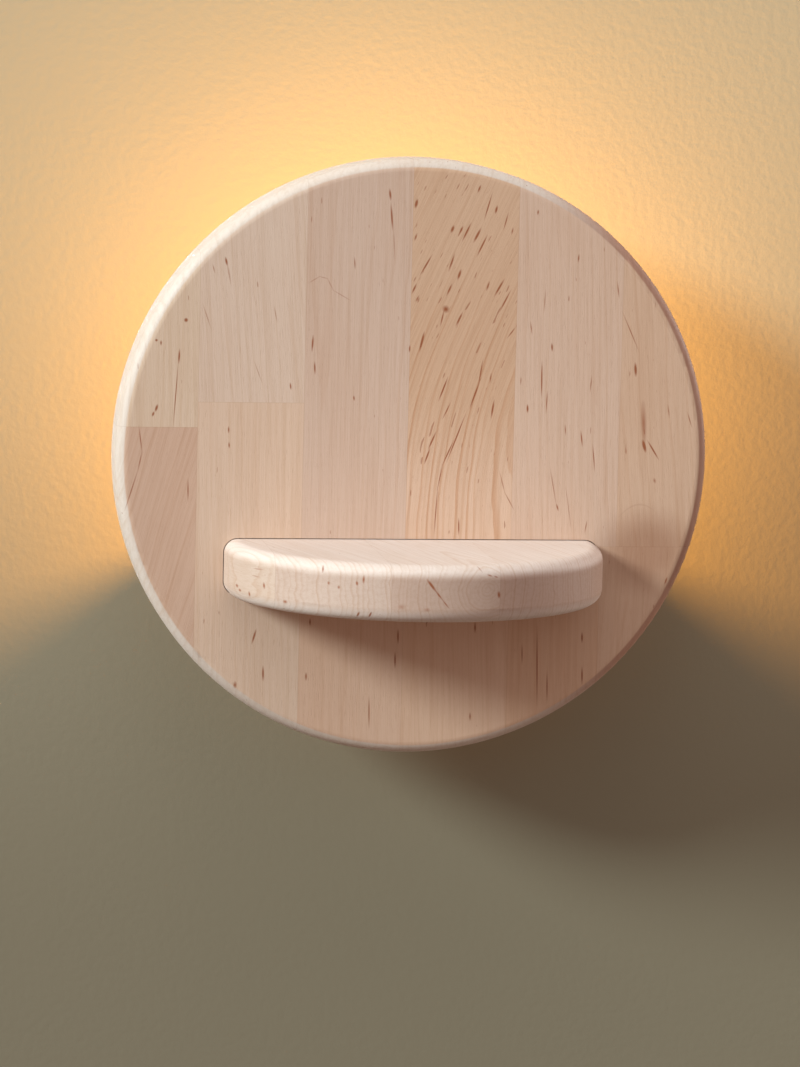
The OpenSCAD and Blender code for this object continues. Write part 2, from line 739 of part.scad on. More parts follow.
module terminal_cover() {
    color("ivory") difference() {
        union() {
            translate([terminal_mid, mid_y, flange_top]) linear_extrude(cover_h)
                rounded_rect(cover_w, cover_l, cover_corner);
            translate([0, cover_screw_place.y, flange_top]) linear_extrude(cover_wall) {
                translate([cover_right - over, -ear_l / 2]) square([over + ear_l / 2, ear_l]);
                translate([cover_screw_place.x, 0]) circle(ear_l / 2);
            }
        }
        translate([terminal_mid, mid_y, flange_top - over]) linear_extrude(cover_h - cover_wall + over)
            rounded_rect(cover_w - 2 * cover_wall, cover_l - 2 * cover_wall, cover_corner - cover_wall);
        for (y = pole_y) translate([terminal_mid - cover_w / 2 - over, y, 0]) {
            translate([0, 0, pole_z]) rotate([0, 90, 0])
                cylinder(h = cover_wall + 2 * over, r = lead_d / 2 + pass);
            translate([0, -lead_d / 2 - pass, flange_top - over])
                cube([cover_wall + 2 * over, lead_d + 2 * pass, pole_z - flange_top + over]);
        }
        translate([terminal_mid, mid_y, flange_top + cover_h / 2]) rotate([-90, 0, 0])
            cylinder(h = cover_l, r = cable_bore / 2 + pass);
        facing_up([cover_screw_place]) pass_hole(small_screw_d, cover_wall);
    }
}

module cover_screw() color("lightsteelblue") facing_up([cover_screw_place]) small_screw();

module live_lead() {
    inlet = mid_y - well_d / 2 - seat;
    color("saddlebrown") wire([
        [lead_end, pole_y[0], pole_z],
        [-pin_spacing / 2, pole_y[0], pole_z],
        [-pin_spacing / 2, inlet, pole_z]
    ], lead_d / 2, lead_bend);
}

module neutral_lead() {
    inlet = (pin_spacing + well_w) / 2 + seat;
    color("royalblue") translate([inlet, mid_y, pole_z]) rotate([0, 90, 0])
        cylinder(h = lead_end - inlet, d = lead_d);
}

module earth_lead() {
    color("yellowgreen") wire([
        [lead_end, pole_y[2], pole_z],
        [earth_x, pole_y[2], pole_z],
        [earth_x, pole_y[2], flange_top + tag_t + seat]
    ], lead_d / 2, lead_bend);
}

module earth_tag() {
    color("lightgray") difference() {
        union() {
            translate([earth_x, mid_y, flange_top]) cylinder(h = tag_t, r = tag_r);
            translate([earth_x - tag_barrel_r, mid_y, flange_top])
                cube([2 * tag_barrel_r, pole_pitch, tag_t]);
            translate([earth_x, pole_y[2], flange_top]) cylinder(h = tag_barrel_l, r = tag_barrel_r);
        }
        translate([earth_x, pole_y[2], flange_top + tag_t])
            cylinder(h = tag_barrel_l, r = lead_d / 2 + pilot);
        facing_up([earth_place]) pass_hole(small_screw_d, tag_t);
    }
}

module earth_screw() color("lightsteelblue") facing_up([earth_place]) small_screw();

// ---------------------------------------------------------------- drawing

wall_plate();
cable_grommet();
front_disc();
shelf_board();
shelf_bumpers();
shelf_angles();
angle_screws();
back_bracket();
bracket_screws();
heat_shield();
shield_screws();
holder_body();
holder_contacts();
holder_saddle();
holder_screws();
terminal_body();
terminal_cores();
terminal_screws();
terminal_fixings();
terminal_cover();
cover_screw();
live_lead();
neutral_lead();
earth_lead();
earth_tag();
earth_screw();
bulb_base();
bulb_pins();
bulb_core();
bulb_leds();
bulb_cover();
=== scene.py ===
"""Looks of a wall lamp with a shelf.

A round disc and a half-moon shelf of edge-glued birch hang in front of the wall, with a bulb, its
lampholder, the terminal block and the sheet metal behind the disc. The patterns are written in mm
and everything else in metres.
"""

import json
import math

import bpy
from mathutils import Matrix, Vector


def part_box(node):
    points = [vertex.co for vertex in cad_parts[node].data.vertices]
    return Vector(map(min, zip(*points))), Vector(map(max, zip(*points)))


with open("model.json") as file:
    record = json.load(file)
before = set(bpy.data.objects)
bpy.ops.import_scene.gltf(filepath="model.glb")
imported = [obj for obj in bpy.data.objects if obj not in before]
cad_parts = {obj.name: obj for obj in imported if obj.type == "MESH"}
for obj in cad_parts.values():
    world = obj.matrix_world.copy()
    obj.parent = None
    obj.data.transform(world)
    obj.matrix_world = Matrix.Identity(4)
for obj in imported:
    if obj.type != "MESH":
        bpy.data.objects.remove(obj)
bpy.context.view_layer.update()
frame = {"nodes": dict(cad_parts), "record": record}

MM = 0.001
PHOTO_WIDTH, PHOTO_HEIGHT = 800, 1067


def tint(red, green, blue):
    """A colour written as on a paint chart, 0 to 255, made linear."""
    linear = []
    for part in (red, green, blue):
        share = part / 255
        linear.append(share / 12.92 if share <= 0.04045 else ((share + 0.055) / 1.055) ** 2.4)
    return (*linear, 1.0)


# ---------- helpers for node trees ----------

def add(tree, kind, sockets=(), **settings):
    """One shader node with its settings, each socket given set to a value or linked."""
    node = tree.nodes.new("ShaderNode" + kind)
    for name, value in settings.items():
        setattr(node, name, value)
    for name, value in dict(sockets).items():
        if isinstance(value, bpy.types.NodeSocket):
            tree.links.new(value, node.inputs[name])
        else:
            node.inputs[name].default_value = value
    return node


def calc(tree, operation, *values):
    """The result of a Math node."""
    return add(tree, "Math", enumerate(values), operation=operation).outputs[0]


def mix(tree, amount, first, second, blend="MIX"):
    """Two colours mixed."""
    node = add(tree, "Mix", {0: amount, 6: first, 7: second}, data_type="RGBA", blend_type=blend)
    return node.outputs[2]


def spread(tree, value, low, high, out_low=0.0, out_high=1.0):
    """A value's range stretched onto another, with soft ends."""
    sockets = {"Value": value, "From Min": low, "From Max": high,
               "To Min": out_low, "To Max": out_high}
    return add(tree, "MapRange", sockets, interpolation_type="SMOOTHSTEP").outputs[0]


def noise(tree, place, scales, detail=2.0, roughness=0.5):
    """Cloudy noise about 0.5, with its own scale per mm on each axis."""
    sockets = {"Vector": times(tree, place, scales), "Scale": 1.0, "Detail": detail,
               "Roughness": roughness}
    return add(tree, "TexNoise", sockets).outputs["Fac"]


def layer(tree, place, scales, detail, roughness, low, high):
    """A mask from a part of the noise's range."""
    return spread(tree, noise(tree, place, scales, detail, roughness), low, high)


def darker(tree, mask, amount, color, tone):
    """A colour multiplied by a tone, by a mask times an amount."""
    return mix(tree, calc(tree, "MULTIPLY", mask, amount), color, tone, "MULTIPLY")


def swing(tree, value, width):
    """A value about 0.5 turned into one about 0."""
    return calc(tree, "MULTIPLY", calc(tree, "SUBTRACT", value, 0.5), width)


def squared(tree, value):
    """A value times itself."""
    return calc(tree, "MULTIPLY", value, value)


def distance(tree, across, upward):
    """The length of a step across and upward."""
    return calc(tree, "SQRT", calc(tree, "ADD", squared(tree, across), squared(tree, upward)))


def scaled(tree, vector, factor):
    """A vector times one factor."""
    return add(tree, "VectorMath", {0: vector, "Scale": factor}, operation="SCALE").outputs[0]


def times(tree, vector, factors):
    """A vector times three factors."""
    sockets = {0: vector, 1: factors}
    return add(tree, "VectorMath", sockets, operation="MULTIPLY").outputs[0]


def split(tree, vector):
    """A vector's three parts."""
    return add(tree, "SeparateXYZ", {0: vector}).outputs


def join(tree, x, y, z):
    """Three values as a vector."""
    return add(tree, "CombineXYZ", {0: x, 1: y, 2: z}).outputs[0]


def object_place(tree):
    """The point on the piece, in mm."""
    return times(tree, add(tree, "TexCoord").outputs["Object"], (1 / MM,) * 3)


def new_group(name, inputs, outputs):
    """A shader node group with its sockets; gives the tree, its inputs and its output node."""
    tree = bpy.data.node_groups.new(name, "ShaderNodeTree")
    kinds = {float: "NodeSocketFloat", tuple: "NodeSocketColor", Vector: "NodeSocketVector"}
    for label, value in inputs.items():
        socket = tree.interface.new_socket(label, in_out="INPUT", socket_type=kinds[type(value)])
        socket.default_value = value
    for label, kind in outputs.items():
        tree.interface.new_socket(label, in_out="OUTPUT", socket_type=kinds[kind])
    return tree, tree.nodes.new("NodeGroupInput").outputs, tree.nodes.new("NodeGroupOutput")


def use_group(tree, group, sockets):
    """A node group placed in a tree with its own values; gives its outputs."""
    node = tree.nodes.new("ShaderNodeGroup")
    node.node_tree = group
    for name, value in sockets.items():
        if isinstance(value, bpy.types.NodeSocket):
            tree.links.new(value, node.inputs[name])
        else:
            node.inputs[name].default_value = value
    return node.outputs


def put_out(tree, end, results):
    """Links a group's results to its outputs."""
    for name, socket in results.items():
        tree.links.new(socket, end.inputs[name])


def new_material(name):
    """A material with a Principled BSDF; gives the material, its tree and the shader."""
    material = bpy.data.materials.new(name)
    material.use_nodes = True
    return material, material.node_tree, material.node_tree.nodes["Principled BSDF"]


def relief(tree, shader, height, distance_mm, strength=1.0):
    """Fine relief from a height value."""
    sockets = {"Height": height, "Distance": distance_mm * MM, "Strength": strength}
    tree.links.new(add(tree, "Bump", sockets).outputs["Normal"], shader.inputs["Normal"])


# ---------- camera, stage and light ----------

# The camera was fitted to the outlines of the disc and the shelf. Angles are in degrees.
CAMERA_PLACE = (-0.352, -2.3475, 0.2555)
CAMERA_YAW, CAMERA_PITCH, CAMERA_ROLL = 8.642, 7.267, 1.404
FOCAL_PX = 4617.8
SENSOR_WIDTH = 36

# Even lamps: degrees left of straight ahead, degrees up, strength, width in radians and colour.
# The shading of the shelf's front and the shelf's shadow on the disc give the key's direction.
KEY_SUN = (67.0, 26.3, 4.7, 0.26, (0.80, 0.97, 1.0))
REAR_SUN = (180.0, 0.0, 1.6, 0.2, (0.92, 0.97, 1.0))
RIGHT_SUN = (-112.0, 12.0, 1.2, 0.3, (1.0, 0.96, 0.92))
TOP_LAMP_PLACE, TOP_LAMP_AIM = (-0.3, -1.2, 2.0), (0, -0.07, 0)
TOP_LAMP_SIZE, TOP_LAMP_WATTS, TOP_LAMP_COLOR = 1.2, 7, (1.0, 0.98, 0.96)
HALO_WATTS, HALO_REACH, HALO_RADIUS = 13.5, 6.0, 0.022
HALO_COLOR = (1.0, 0.48, 0.08)
HALO_BLOCKERS = ("front_disc", "shelf_board")

# Soft light by direction. A range is in parts of the direction's length.
SKY_ABOVE = (0.80, 0.80, 0.81, 1.0)
SKY_LEVEL = (0.455, 0.37, 0.32, 1.0)
SKY_BELOW = (0.13, 0.045, 0.015, 1.0)
SKY_BEHIND = (0.42, 0.37, 0.31, 1.0)
BELOW_TO_LEVEL, LEVEL_TO_ABOVE, FRONT_TO_BEHIND = (-0.60, 0.10), (-0.10, 0.60), (-0.05, 0.20)
PALE_COLOR = (0.93, 0.91, 0.88, 1.0)

# The wall's paint darkens towards the bottom: painted shade.
WALL_SHADED_LOW, WALL_LIT_HIGH = tint(128, 117, 97), tint(172, 161, 136)
WALL_SHADE_FADE = (-300.0, 250.0)
FLOOR_COLOR = tint(226, 220, 210)
FLOOR_HEIGHT = -0.6
SHEET_SIZE = 6.0
PAINT_SHADE = (0.94, 0.94, 0.94, 1.0)
PAINT_CLOUDS, PAINT_GRAIN, PAINT_DETAIL, PAINT_RELIEF_MM = (0.004,) * 3, (0.25,) * 3, 3.0, 0.12


def link_object(name, data):
    """A new object in the scene."""
    holder = bpy.data.objects.new(name, data)
    bpy.context.scene.collection.objects.link(holder)
    return holder


def camera_axes():
    """The camera's directions to the photograph's right, to its top and straight ahead."""
    yaw, pitch, roll = (math.radians(turn) for turn in (CAMERA_YAW, CAMERA_PITCH, CAMERA_ROLL))
    ahead = Vector((math.sin(yaw) * math.cos(pitch), math.cos(yaw) * math.cos(pitch),
                    -math.sin(pitch)))
    level = Vector((math.cos(yaw), -math.sin(yaw), 0))
    upright = level.cross(ahead)
    side = level * math.cos(roll) + upright * math.sin(roll)
    top = upright * math.cos(roll) - level * math.sin(roll)
    return side, top, ahead


def line_of_sight(across, down):
    """The direction from the camera through a place in the photograph, given in pixels."""
    side, top, ahead = camera_axes()
    return (side * (across - PHOTO_WIDTH / 2) - top * (down - PHOTO_HEIGHT / 2)
            + ahead * FOCAL_PX)


def place_camera():
    """The camera at the photograph's place and viewing angle."""
    side, top, ahead = camera_axes()
    lens = bpy.data.cameras.new("photo_camera")
    lens.sensor_width = SENSOR_WIDTH
    lens.lens = FOCAL_PX * SENSOR_WIDTH / PHOTO_HEIGHT
    camera = link_object("photo_camera", lens)
    camera.matrix_world = (Matrix.Translation(CAMERA_PLACE)
                           @ Matrix((side, top, -ahead)).transposed().to_4x4())
    bpy.context.scene.camera = camera


def backdrop_material(name, low_color, high_color):
    """Plain matt paint, paler above: the darkening below is painted shade. Solid from its front and
    clear from behind.
    """
    material, tree, shader = new_material(name)
    place = object_place(tree)
    # Painted shade: the paint darkens towards the bottom.
    paint = mix(tree, spread(tree, split(tree, place)[2], *WALL_SHADE_FADE), low_color, high_color)
    cloud = noise(tree, place, PAINT_CLOUDS, PAINT_DETAIL)
    shade = mix(tree, cloud, (1.0,) * 4, PAINT_SHADE)
    tree.links.new(mix(tree, 1.0, paint, shade, "MULTIPLY"), shader.inputs["Base Color"])
    shader.inputs["Roughness"].default_value = 0.9
    shader.inputs["Specular IOR Level"].default_value = 0.2
    relief(tree, shader, noise(tree, place, PAINT_GRAIN, PAINT_DETAIL), PAINT_RELIEF_MM)
    clear = add(tree, "BsdfTransparent").outputs[0]
    behind = add(tree, "NewGeometry").outputs["Backfacing"]
    both = add(tree, "MixShader", {0: behind, 1: shader.outputs[0], 2: clear}).outputs[0]
    tree.links.new(both, tree.nodes["Material Output"].inputs["Surface"])
    return material


def backdrop(name, height, turn_degrees, *colors):
    """A flat stage sheet whose front faces along its turned Z axis."""
    bpy.ops.mesh.primitive_plane_add(size=SHEET_SIZE)
    sheet = bpy.context.object
    sheet.name = name
    turn = Matrix.Rotation(math.radians(turn_degrees), 4, "X")
    sheet.data.transform(Matrix.Translation((0, 0, height)) @ turn)
    sheet.data.materials.append(backdrop_material(name, *colors))
    sheet.visible_shadow = False
    sheet.visible_diffuse = False
    return sheet


def top_light():
    """A soft square lamp above, in front and to the left."""
    lamp = bpy.data.lights.new("top_lamp", "AREA")
    lamp.size = TOP_LAMP_SIZE
    lamp.energy = TOP_LAMP_WATTS
    lamp.color = TOP_LAMP_COLOR
    look = Vector(TOP_LAMP_AIM) - Vector(TOP_LAMP_PLACE)
    link_object("top_lamp", lamp).matrix_world = (
        Matrix.Translation(TOP_LAMP_PLACE) @ look.to_track_quat("-Z", "Y").to_matrix().to_4x4())


def sun_light(name, left, up, strength, angle, color):
    """Even light from one side, by the turn to the left of straight ahead and up, in degrees."""
    lamp = bpy.data.lights.new(name, "SUN")
    lamp.energy = strength
    lamp.angle = angle
    lamp.color = color
    left, up = math.radians(left), math.radians(up)
    towards = Vector((-math.sin(left) * math.cos(up), -math.cos(left) * math.cos(up), math.sin(up)))
    link_object(name, lamp).matrix_world = towards.to_track_quat("Z", "Y").to_matrix().to_4x4()


def halo_light(wall):
    """The bulb's warm light on the wall, which fades slowly; the disc and the shelf shade it."""
    lamp = bpy.data.lights.new("bulb_halo", "POINT")
    lamp.energy = HALO_WATTS
    lamp.color = HALO_COLOR
    lamp.shadow_soft_size = HALO_RADIUS
    lamp.use_nodes = True
    tree = lamp.node_tree
    reach = add(tree, "LightFalloff", {"Strength": HALO_REACH}).outputs["Linear"]
    tree.links.new(reach, tree.nodes["Emission"].inputs["Strength"])
    holder = link_object("bulb_halo", lamp)
    low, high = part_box("bulb_cover")
    holder.location = (low + high) / 2
    lit = bpy.data.collections.new("halo_lights")
    lit.objects.link(wall)
    holder.light_linking.receiver_collection = lit
    shading = bpy.data.collections.new("halo_is_shaded_by")
    for node in HALO_BLOCKERS:
        shading.objects.link(frame["nodes"][node])
    holder.light_linking.blocker_collection = shading


def set_world():
    """Pale surroundings for the camera and for reflections, soft light from above for all else."""
    world = bpy.data.worlds.new("studio")
    bpy.context.scene.world = world
    world.use_nodes = True
    tree = world.node_tree
    path = add(tree, "LightPath").outputs
    seen = calc(tree, "MAXIMUM", path["Is Camera Ray"], path["Is Glossy Ray"])
    seen = calc(tree, "MAXIMUM", seen, path["Is Transmission Ray"])
    ambient = tree.nodes["Background"]
    _, ahead, height = split(tree, add(tree, "TexCoord").outputs["Generated"])
    sky = mix(tree, spread(tree, height, *BELOW_TO_LEVEL), SKY_BELOW, SKY_LEVEL)
    sky = mix(tree, spread(tree, height, *LEVEL_TO_ABOVE), sky, SKY_ABOVE)
    sky = mix(tree, spread(tree, ahead, *FRONT_TO_BEHIND), sky, SKY_BEHIND)
    tree.links.new(sky, ambient.inputs["Color"])
    pale = add(tree, "Background", {"Color": PALE_COLOR, "Strength": 1.0}).outputs[0]
    both = add(tree, "MixShader", {0: seen, 1: ambient.outputs[0], 2: pale}).outputs[0]
    tree.links.new(both, tree.nodes["World Output"].inputs["Surface"])


def set_stage():
    """Wall, floor, lamps and surroundings."""
    bpy.context.scene.view_settings.view_transform = "Standard"
    wall = backdrop("stage_wall", 0, 90, WALL_SHADED_LOW, WALL_LIT_HIGH)
    backdrop("stage_floor", FLOOR_HEIGHT, 0, FLOOR_COLOR, FLOOR_COLOR)
    sun_light("key_lamp", *KEY_SUN)
    top_light()
    sun_light("rear_lamp", *REAR_SUN)
    sun_light("right_lamp", *RIGHT_SUN)
    halo_light(wall)
    set_world()


# ---------- wood ----------

BARK_BROWN = tint(138, 74, 40)
RING_TINT = (0.86, 0.74, 0.64, 1.0)
STREAK_TINT = (0.89, 0.84, 0.79, 1.0)
PORE_TINT = (0.84, 0.74, 0.66, 1.0)
CLOUD_TINT = (0.95, 0.90, 0.86, 1.0)
GLUE_TINT = (0.66, 0.54, 0.45, 1.0)
GLUE_HALF_WIDTH, GLUE_AMOUNT = 0.25, 0.35
JOINT_FADE = 0.6
WOOD_RELIEF_MM, WOOD_RELIEF_STRENGTH = 0.12, 0.5
FAR_AWAY = 99.0

# The disc's staves: where they meet (mm from the middle), and the boards in them.
DISC_JOINTS = (-109.4, -56.3, -3.6, 50.2)
LAST_JOINT_UPPER, LAST_JOINT_LOWER = 104.3, 96.3
# For each stave: the height of the butt joint between its two boards. Four are behind the shelf.
DISC_BUTTS = (14.8, 27.5, -55.0, -55.0, -55.0, -44.0)
BUTT_RANGE = 200.0
UPPER_TONES = ((206, 178, 156), (207, 180, 162), (199, 169, 151), (199, 162, 135),
               (202, 170, 150), (199, 164, 140))
LOWER_TONES = ((197, 162, 141), (208, 178, 157), (205, 169, 146), (206, 170, 146),
               (201, 163, 137), (200, 165, 141))
# One stave's upper board has bent grain: where it bends, and how it changes downward and upward.
BENT_STAVE = 3.0
BEND_Z, BEND_SLOPE, BEND_SOFTNESS = 12.0, 0.46, 70.0
BENT_LOW_TONE = tint(207, 173, 150)
BENT_TO_LOW, LOW_GAIN = (35.0, -20.0), 0.6
BENT_TO_CALM, CALM_LOSS = (40.0, 105.0), 0.70
DISC_RING_MM, BENT_NARROWER_MM = 3.2, 0.5
DISC_STREAKS, LEAN_SLOPE = 0.6, 1.2
# What is added to a stave's number for its lower board and for the shelf's boards.
LOWER_BOARDS, SHELF_BOARDS = 10.0, 20.0
# For each board, 0 to 1: flecks, strength of the growth rings, lean of the grain (0.5 is upright).
UPPER_GRAIN = ((0.30, 0.25, 0.47), (0.20, 0.22, 0.44), (0.25, 0.30, 0.50), (0.60, 1.00, 0.50),
               (0.40, 0.30, 0.48), (0.30, 0.40, 0.45))
LOWER_GRAIN = ((0.20, 0.35, 0.72), (0.20, 0.25, 0.50), (0.30, 0.22, 0.47), (0.30, 0.22, 0.46),
               (0.35, 0.30, 0.50), (0.35, 0.22, 0.52))

# Dark marks in the wood, read in enlarged cut-outs of the photograph. A window is a
# cut-out's left and top edge in the photograph, in pixels, and its enlargement. A reading is a
# mark's two ends (each across and down) and its width, in the cut-out's pixels, and its strength.
RIGHT_WINDOW = (400, 150, 5.058)
RIGHT_READINGS = (
    (88, 252, 78, 290, 10, 0.9), (408, 180, 395, 212, 7, 0.7), (465, 225, 428, 348, 5, 0.7),
    (492, 285, 483, 318, 8, 0.8), (548, 320, 525, 400, 5, 0.6), (272, 385, 260, 415, 10, 0.8),
    (318, 388, 303, 420, 8, 0.6), (357, 375, 318, 455, 7, 0.8), (408, 400, 375, 462, 9, 0.8),
    (440, 435, 392, 532, 6, 0.8), (572, 395, 565, 425, 6, 0.5), (85, 425, 75, 455, 7, 0.6),
    (160, 535, 105, 628, 6, 0.8), (275, 530, 248, 608, 7, 0.7), (308, 608, 293, 652, 9, 0.8),
    (262, 680, 238, 732, 7, 0.7), (82, 680, 62, 722, 7, 0.7), (95, 738, 80, 765, 6, 0.5),
    (452, 668, 438, 708, 7, 0.6), (525, 658, 480, 735, 7, 0.8), (558, 715, 505, 815, 6, 0.7),
    (242, 795, 222, 815, 26, 0.6), (222, 815, 205, 888, 6, 0.6), (315, 825, 285, 885, 7, 0.8),
    (582, 900, 545, 948, 5, 0.6), (122, 925, 100, 1012, 8, 0.9), (50, 990, 48, 1020, 6, 0.7),
    (418, 1070, 398, 1180, 5, 0.7), (400, 1180, 355, 1300, 6, 0.8),
    (240, 1155, 198, 1262, 6, 0.8), (255, 1280, 218, 1355, 5, 0.6),
    (475, 1270, 462, 1350, 7, 0.8), (462, 1130, 455, 1175, 6, 0.5),
    (180, 1430, 145, 1510, 6, 0.8), (330, 1340, 240, 1568, 5, 0.75), (700, 305, 697, 325, 7, 0.6),
    (905, 530, 902, 565, 6, 0.6), (737, 705, 728, 820, 4, 0.4), (660, 870, 668, 930, 4, 0.5),
    (768, 980, 770, 1015, 7, 0.7), (718, 1080, 716, 1240, 5, 0.85),
    (745, 1225, 740, 1320, 4, 0.6), (970, 1145, 962, 1220, 4, 0.5),
    (645, 1290, 645, 1325, 7, 0.8), (612, 1150, 610, 1185, 5, 0.4),
    (835, 1390, 838, 1440, 4, 0.5), (915, 1425, 922, 1495, 5, 0.7),
    (1100, 670, 1108, 745, 5, 0.5), (1130, 830, 1205, 1010, 4, 0.5),
    (1190, 1080, 1193, 1140, 10, 0.8), (1230, 1283, 1236, 1477, 19, 0.4),
    (1228, 1470, 1242, 1525, 12, 0.9), (1255, 1475, 1305, 1560, 6, 0.8),
    (1355, 1290, 1362, 1350, 5, 0.4), (1455, 1330, 1475, 1400, 4, 0.5),
)
MIDDLE_WINDOW = (400, 370, 5.058)
MIDDLE_READINGS = (
    (150, 400, 125, 470, 6, 0.8), (270, 360, 215, 480, 5, 0.7), (215, 480, 190, 600, 4, 0.6),
    (190, 600, 172, 830, 4, 0.6), (297, 755, 297, 830, 5, 0.8), (505, 520, 530, 620, 4, 0.4),
    (530, 620, 575, 705, 4, 0.45), (975, 380, 985, 510, 4, 0.6), (792, 680, 800, 710, 6, 0.6),
    (760, 500, 790, 680, 3, 0.4), (840, 600, 865, 800, 3, 0.3), (945, 765, 935, 820, 4, 0.5),
    (1285, 550, 1290, 570, 10, 0.4), (1350, 1050, 1340, 1080, 6, 0.7),
)
LEFT_WINDOW = (110, 150, 5.058)
LEFT_READINGS = (
    (1415, 200, 1420, 250, 8, 0.7), (1422, 280, 1430, 400, 7, 0.7),
    (1435, 400, 1440, 560, 4, 0.3), (1237, 545, 1240, 600, 5, 0.5),
    (1028, 940, 1022, 1015, 7, 0.7), (1035, 1075, 1037, 1130, 6, 0.7),
    (1233, 1245, 1235, 1265, 6, 0.7), (585, 545, 592, 580, 8, 0.7), (592, 570, 612, 680, 6, 0.3),
    (912, 1180, 915, 1210, 6, 0.7), (830, 790, 845, 870, 4, 0.3), (520, 580, 530, 620, 4, 0.4),
    (600, 1400, 600, 1430, 6, 0.6), (602, 1480, 603, 1505, 6, 0.6), (470, 780, 510, 900, 4, 0.3),
    (730, 1070, 770, 1180, 4, 0.25), (385, 852, 385, 868, 13, 0.8), (235, 958, 235, 966, 9, 0.8),
    (258, 965, 258, 985, 7, 0.6), (352, 1010, 348, 1075, 7, 0.7), (345, 1080, 320, 1395, 4, 0.6),
    (240, 1290, 230, 1320, 9, 0.8), (222, 1325, 215, 1345, 8, 0.7),
    (1010, 670, 1060, 640, 4, 0.25), (1060, 640, 1100, 650, 4, 0.25),
    (1100, 650, 1130, 710, 4, 0.25), (1130, 710, 1215, 760, 4, 0.25),
)
WHOLE_PHOTO = (0, 0, 1.0)
LOWER_READINGS = (
    (537, 630, 537, 703, 1.2, 0.7), (522, 645, 522, 663, 1, 0.6), (547, 673, 547, 700, 1.1, 0.6),
    (582, 633, 582, 642, 1.5, 0.7), (582, 668, 582, 683, 1.3, 0.7),
    (256, 630, 252, 643, 1.5, 0.7), (263, 667, 263, 680, 1.5, 0.7),
    (306, 673, 306, 680, 1.5, 0.6), (310, 619, 310, 625, 1.5, 0.6),
    (369, 697, 369, 727, 1.1, 0.6), (395, 653, 395, 667, 1.4, 0.7),
    (398, 630, 398, 643, 1.4, 0.7), (470, 713, 470, 720, 1.5, 0.6),
    (475, 623, 475, 632, 1.5, 0.6), (235, 682, 235, 688, 2.6, 0.5), (139, 427, 142, 452, 1, 0.5),
    (142, 452, 138, 470, 1, 0.5), (138, 470, 125, 510, 1, 0.5), (188, 480, 188, 500, 1.2, 0.5),
)
DISC_READINGS = ((RIGHT_WINDOW, RIGHT_READINGS), (MIDDLE_WINDOW, MIDDLE_READINGS),
                 (LEFT_WINDOW, LEFT_READINGS), (WHOLE_PHOTO, LOWER_READINGS))
DISC_FACE = -73.0
ARCH_X, ARCH_TOP, ARCH_BEND = 116.0, -22.5, -0.057
ARCH_LINE, ARCH_REACH, ARCH_AMOUNT = (0.9, 0.1), (16.0, 8.0), 0.35
# The soft dark patch low on the right of the disc is painted shadow.
SHADOW_PATCH_X, SHADOW_PATCH_Z, SHADOW_PATCH_HALF_WIDTH, SHADOW_PATCH_HALF_HEIGHT = 120.0, -46.0, 32.0, 27.0
SHADOW_PATCH_TINT, SHADOW_PATCH_FADE = (0.70, 0.60, 0.55, 1.0), (1.0, 0.25)
# The rounded edge cuts through the boards: pale on most of the rim, partly a painted highlight,
# and darker at its front on the right side, which is painted shade.
RIM_START = (145.4, 146.3)
RIM_TONE_AND_HIGHLIGHT, RIM_PAINTED_SHADE = tint(205, 187, 175), tint(168, 124, 103)
RIM_SHADE_TO_RIGHT, RIM_SHADE_TO_FRONT = (50.0, 115.0), (-60.0, -69.0)

# The shelf's staves run from front to back and show their end grain at the front.
SHELF_JOINTS = (-76.5, -24.4, 28.9, 82.0)
SHELF_FRONT_TONES = ((194, 168, 152), (189, 163, 149), (182, 154, 139), (176, 146, 131),
                     (176, 145, 129))
SHELF_FACE_TONE = tint(218, 200, 191)
FRONT_SHARE = 0.18
TO_TOP_FACE, TO_UNDERSIDE = (-48.0, -43.5), (-62.0, -66.5)
SHELF_LEAN, SHELF_STREAKS, SHELF_RING_MM = 0.28, 0.5, 1.9
SHELF_GRAIN = ((0.2, 0.6, 0.5), (0.3, 0.7, 0.5), (0.25, 0.7, 0.5), (0.2, 0.8, 0.5), (0.2, 0.7, 0.5))
# Marks on the shelf's front, read in the same way.
SHELF_WINDOW = (200, 520, 3.733)
SHELF_READINGS = (
    (137, 240, 139, 250, 5, 0.6), (148, 258, 150, 266, 5, 0.6), (183, 268, 186, 285, 4, 0.6),
    (238, 235, 240, 255, 5, 0.6), (195, 180, 240, 186, 3, 0.35), (190, 205, 225, 214, 3, 0.3),
    (462, 172, 458, 195, 5, 0.6), (480, 230, 480, 240, 6, 0.5), (518, 246, 518, 256, 6, 0.5),
    (585, 230, 587, 243, 6, 0.7), (612, 210, 610, 235, 6, 0.6), (318, 300, 318, 310, 10, 0.5),
    (595, 345, 588, 362, 5, 0.8), (640, 345, 632, 365, 5, 0.8), (850, 225, 880, 265, 7, 0.8),
    (880, 265, 905, 298, 5, 0.6), (905, 298, 930, 330, 4, 0.5), (752, 318, 752, 332, 18, 0.25),
    (848, 330, 848, 342, 14, 0.3), (1035, 170, 1055, 195, 4, 0.5), (825, 152, 832, 170, 4, 0.5),
    (765, 155, 768, 175, 4, 0.4), (1115, 268, 1117, 290, 8, 0.7), (1075, 205, 1090, 210, 4, 0.5),
    (1100, 210, 1112, 215, 4, 0.5),
)
PX_PER_MM = 2.0
# A mark is drawn as a spindle that fades towards its ends and sides.
MARK_LENGTHENING, MARK_ENDS_MM = 1.25, 0.3
MARK_WIDTH_SHARE, THINNEST_MARK_MM = 0.8, 0.35
MARK_DEPTH, MARK_LIMIT = 6.0, 0.95
MARK_WIDENING, MARK_STRENGTH = 1.15, 2.0


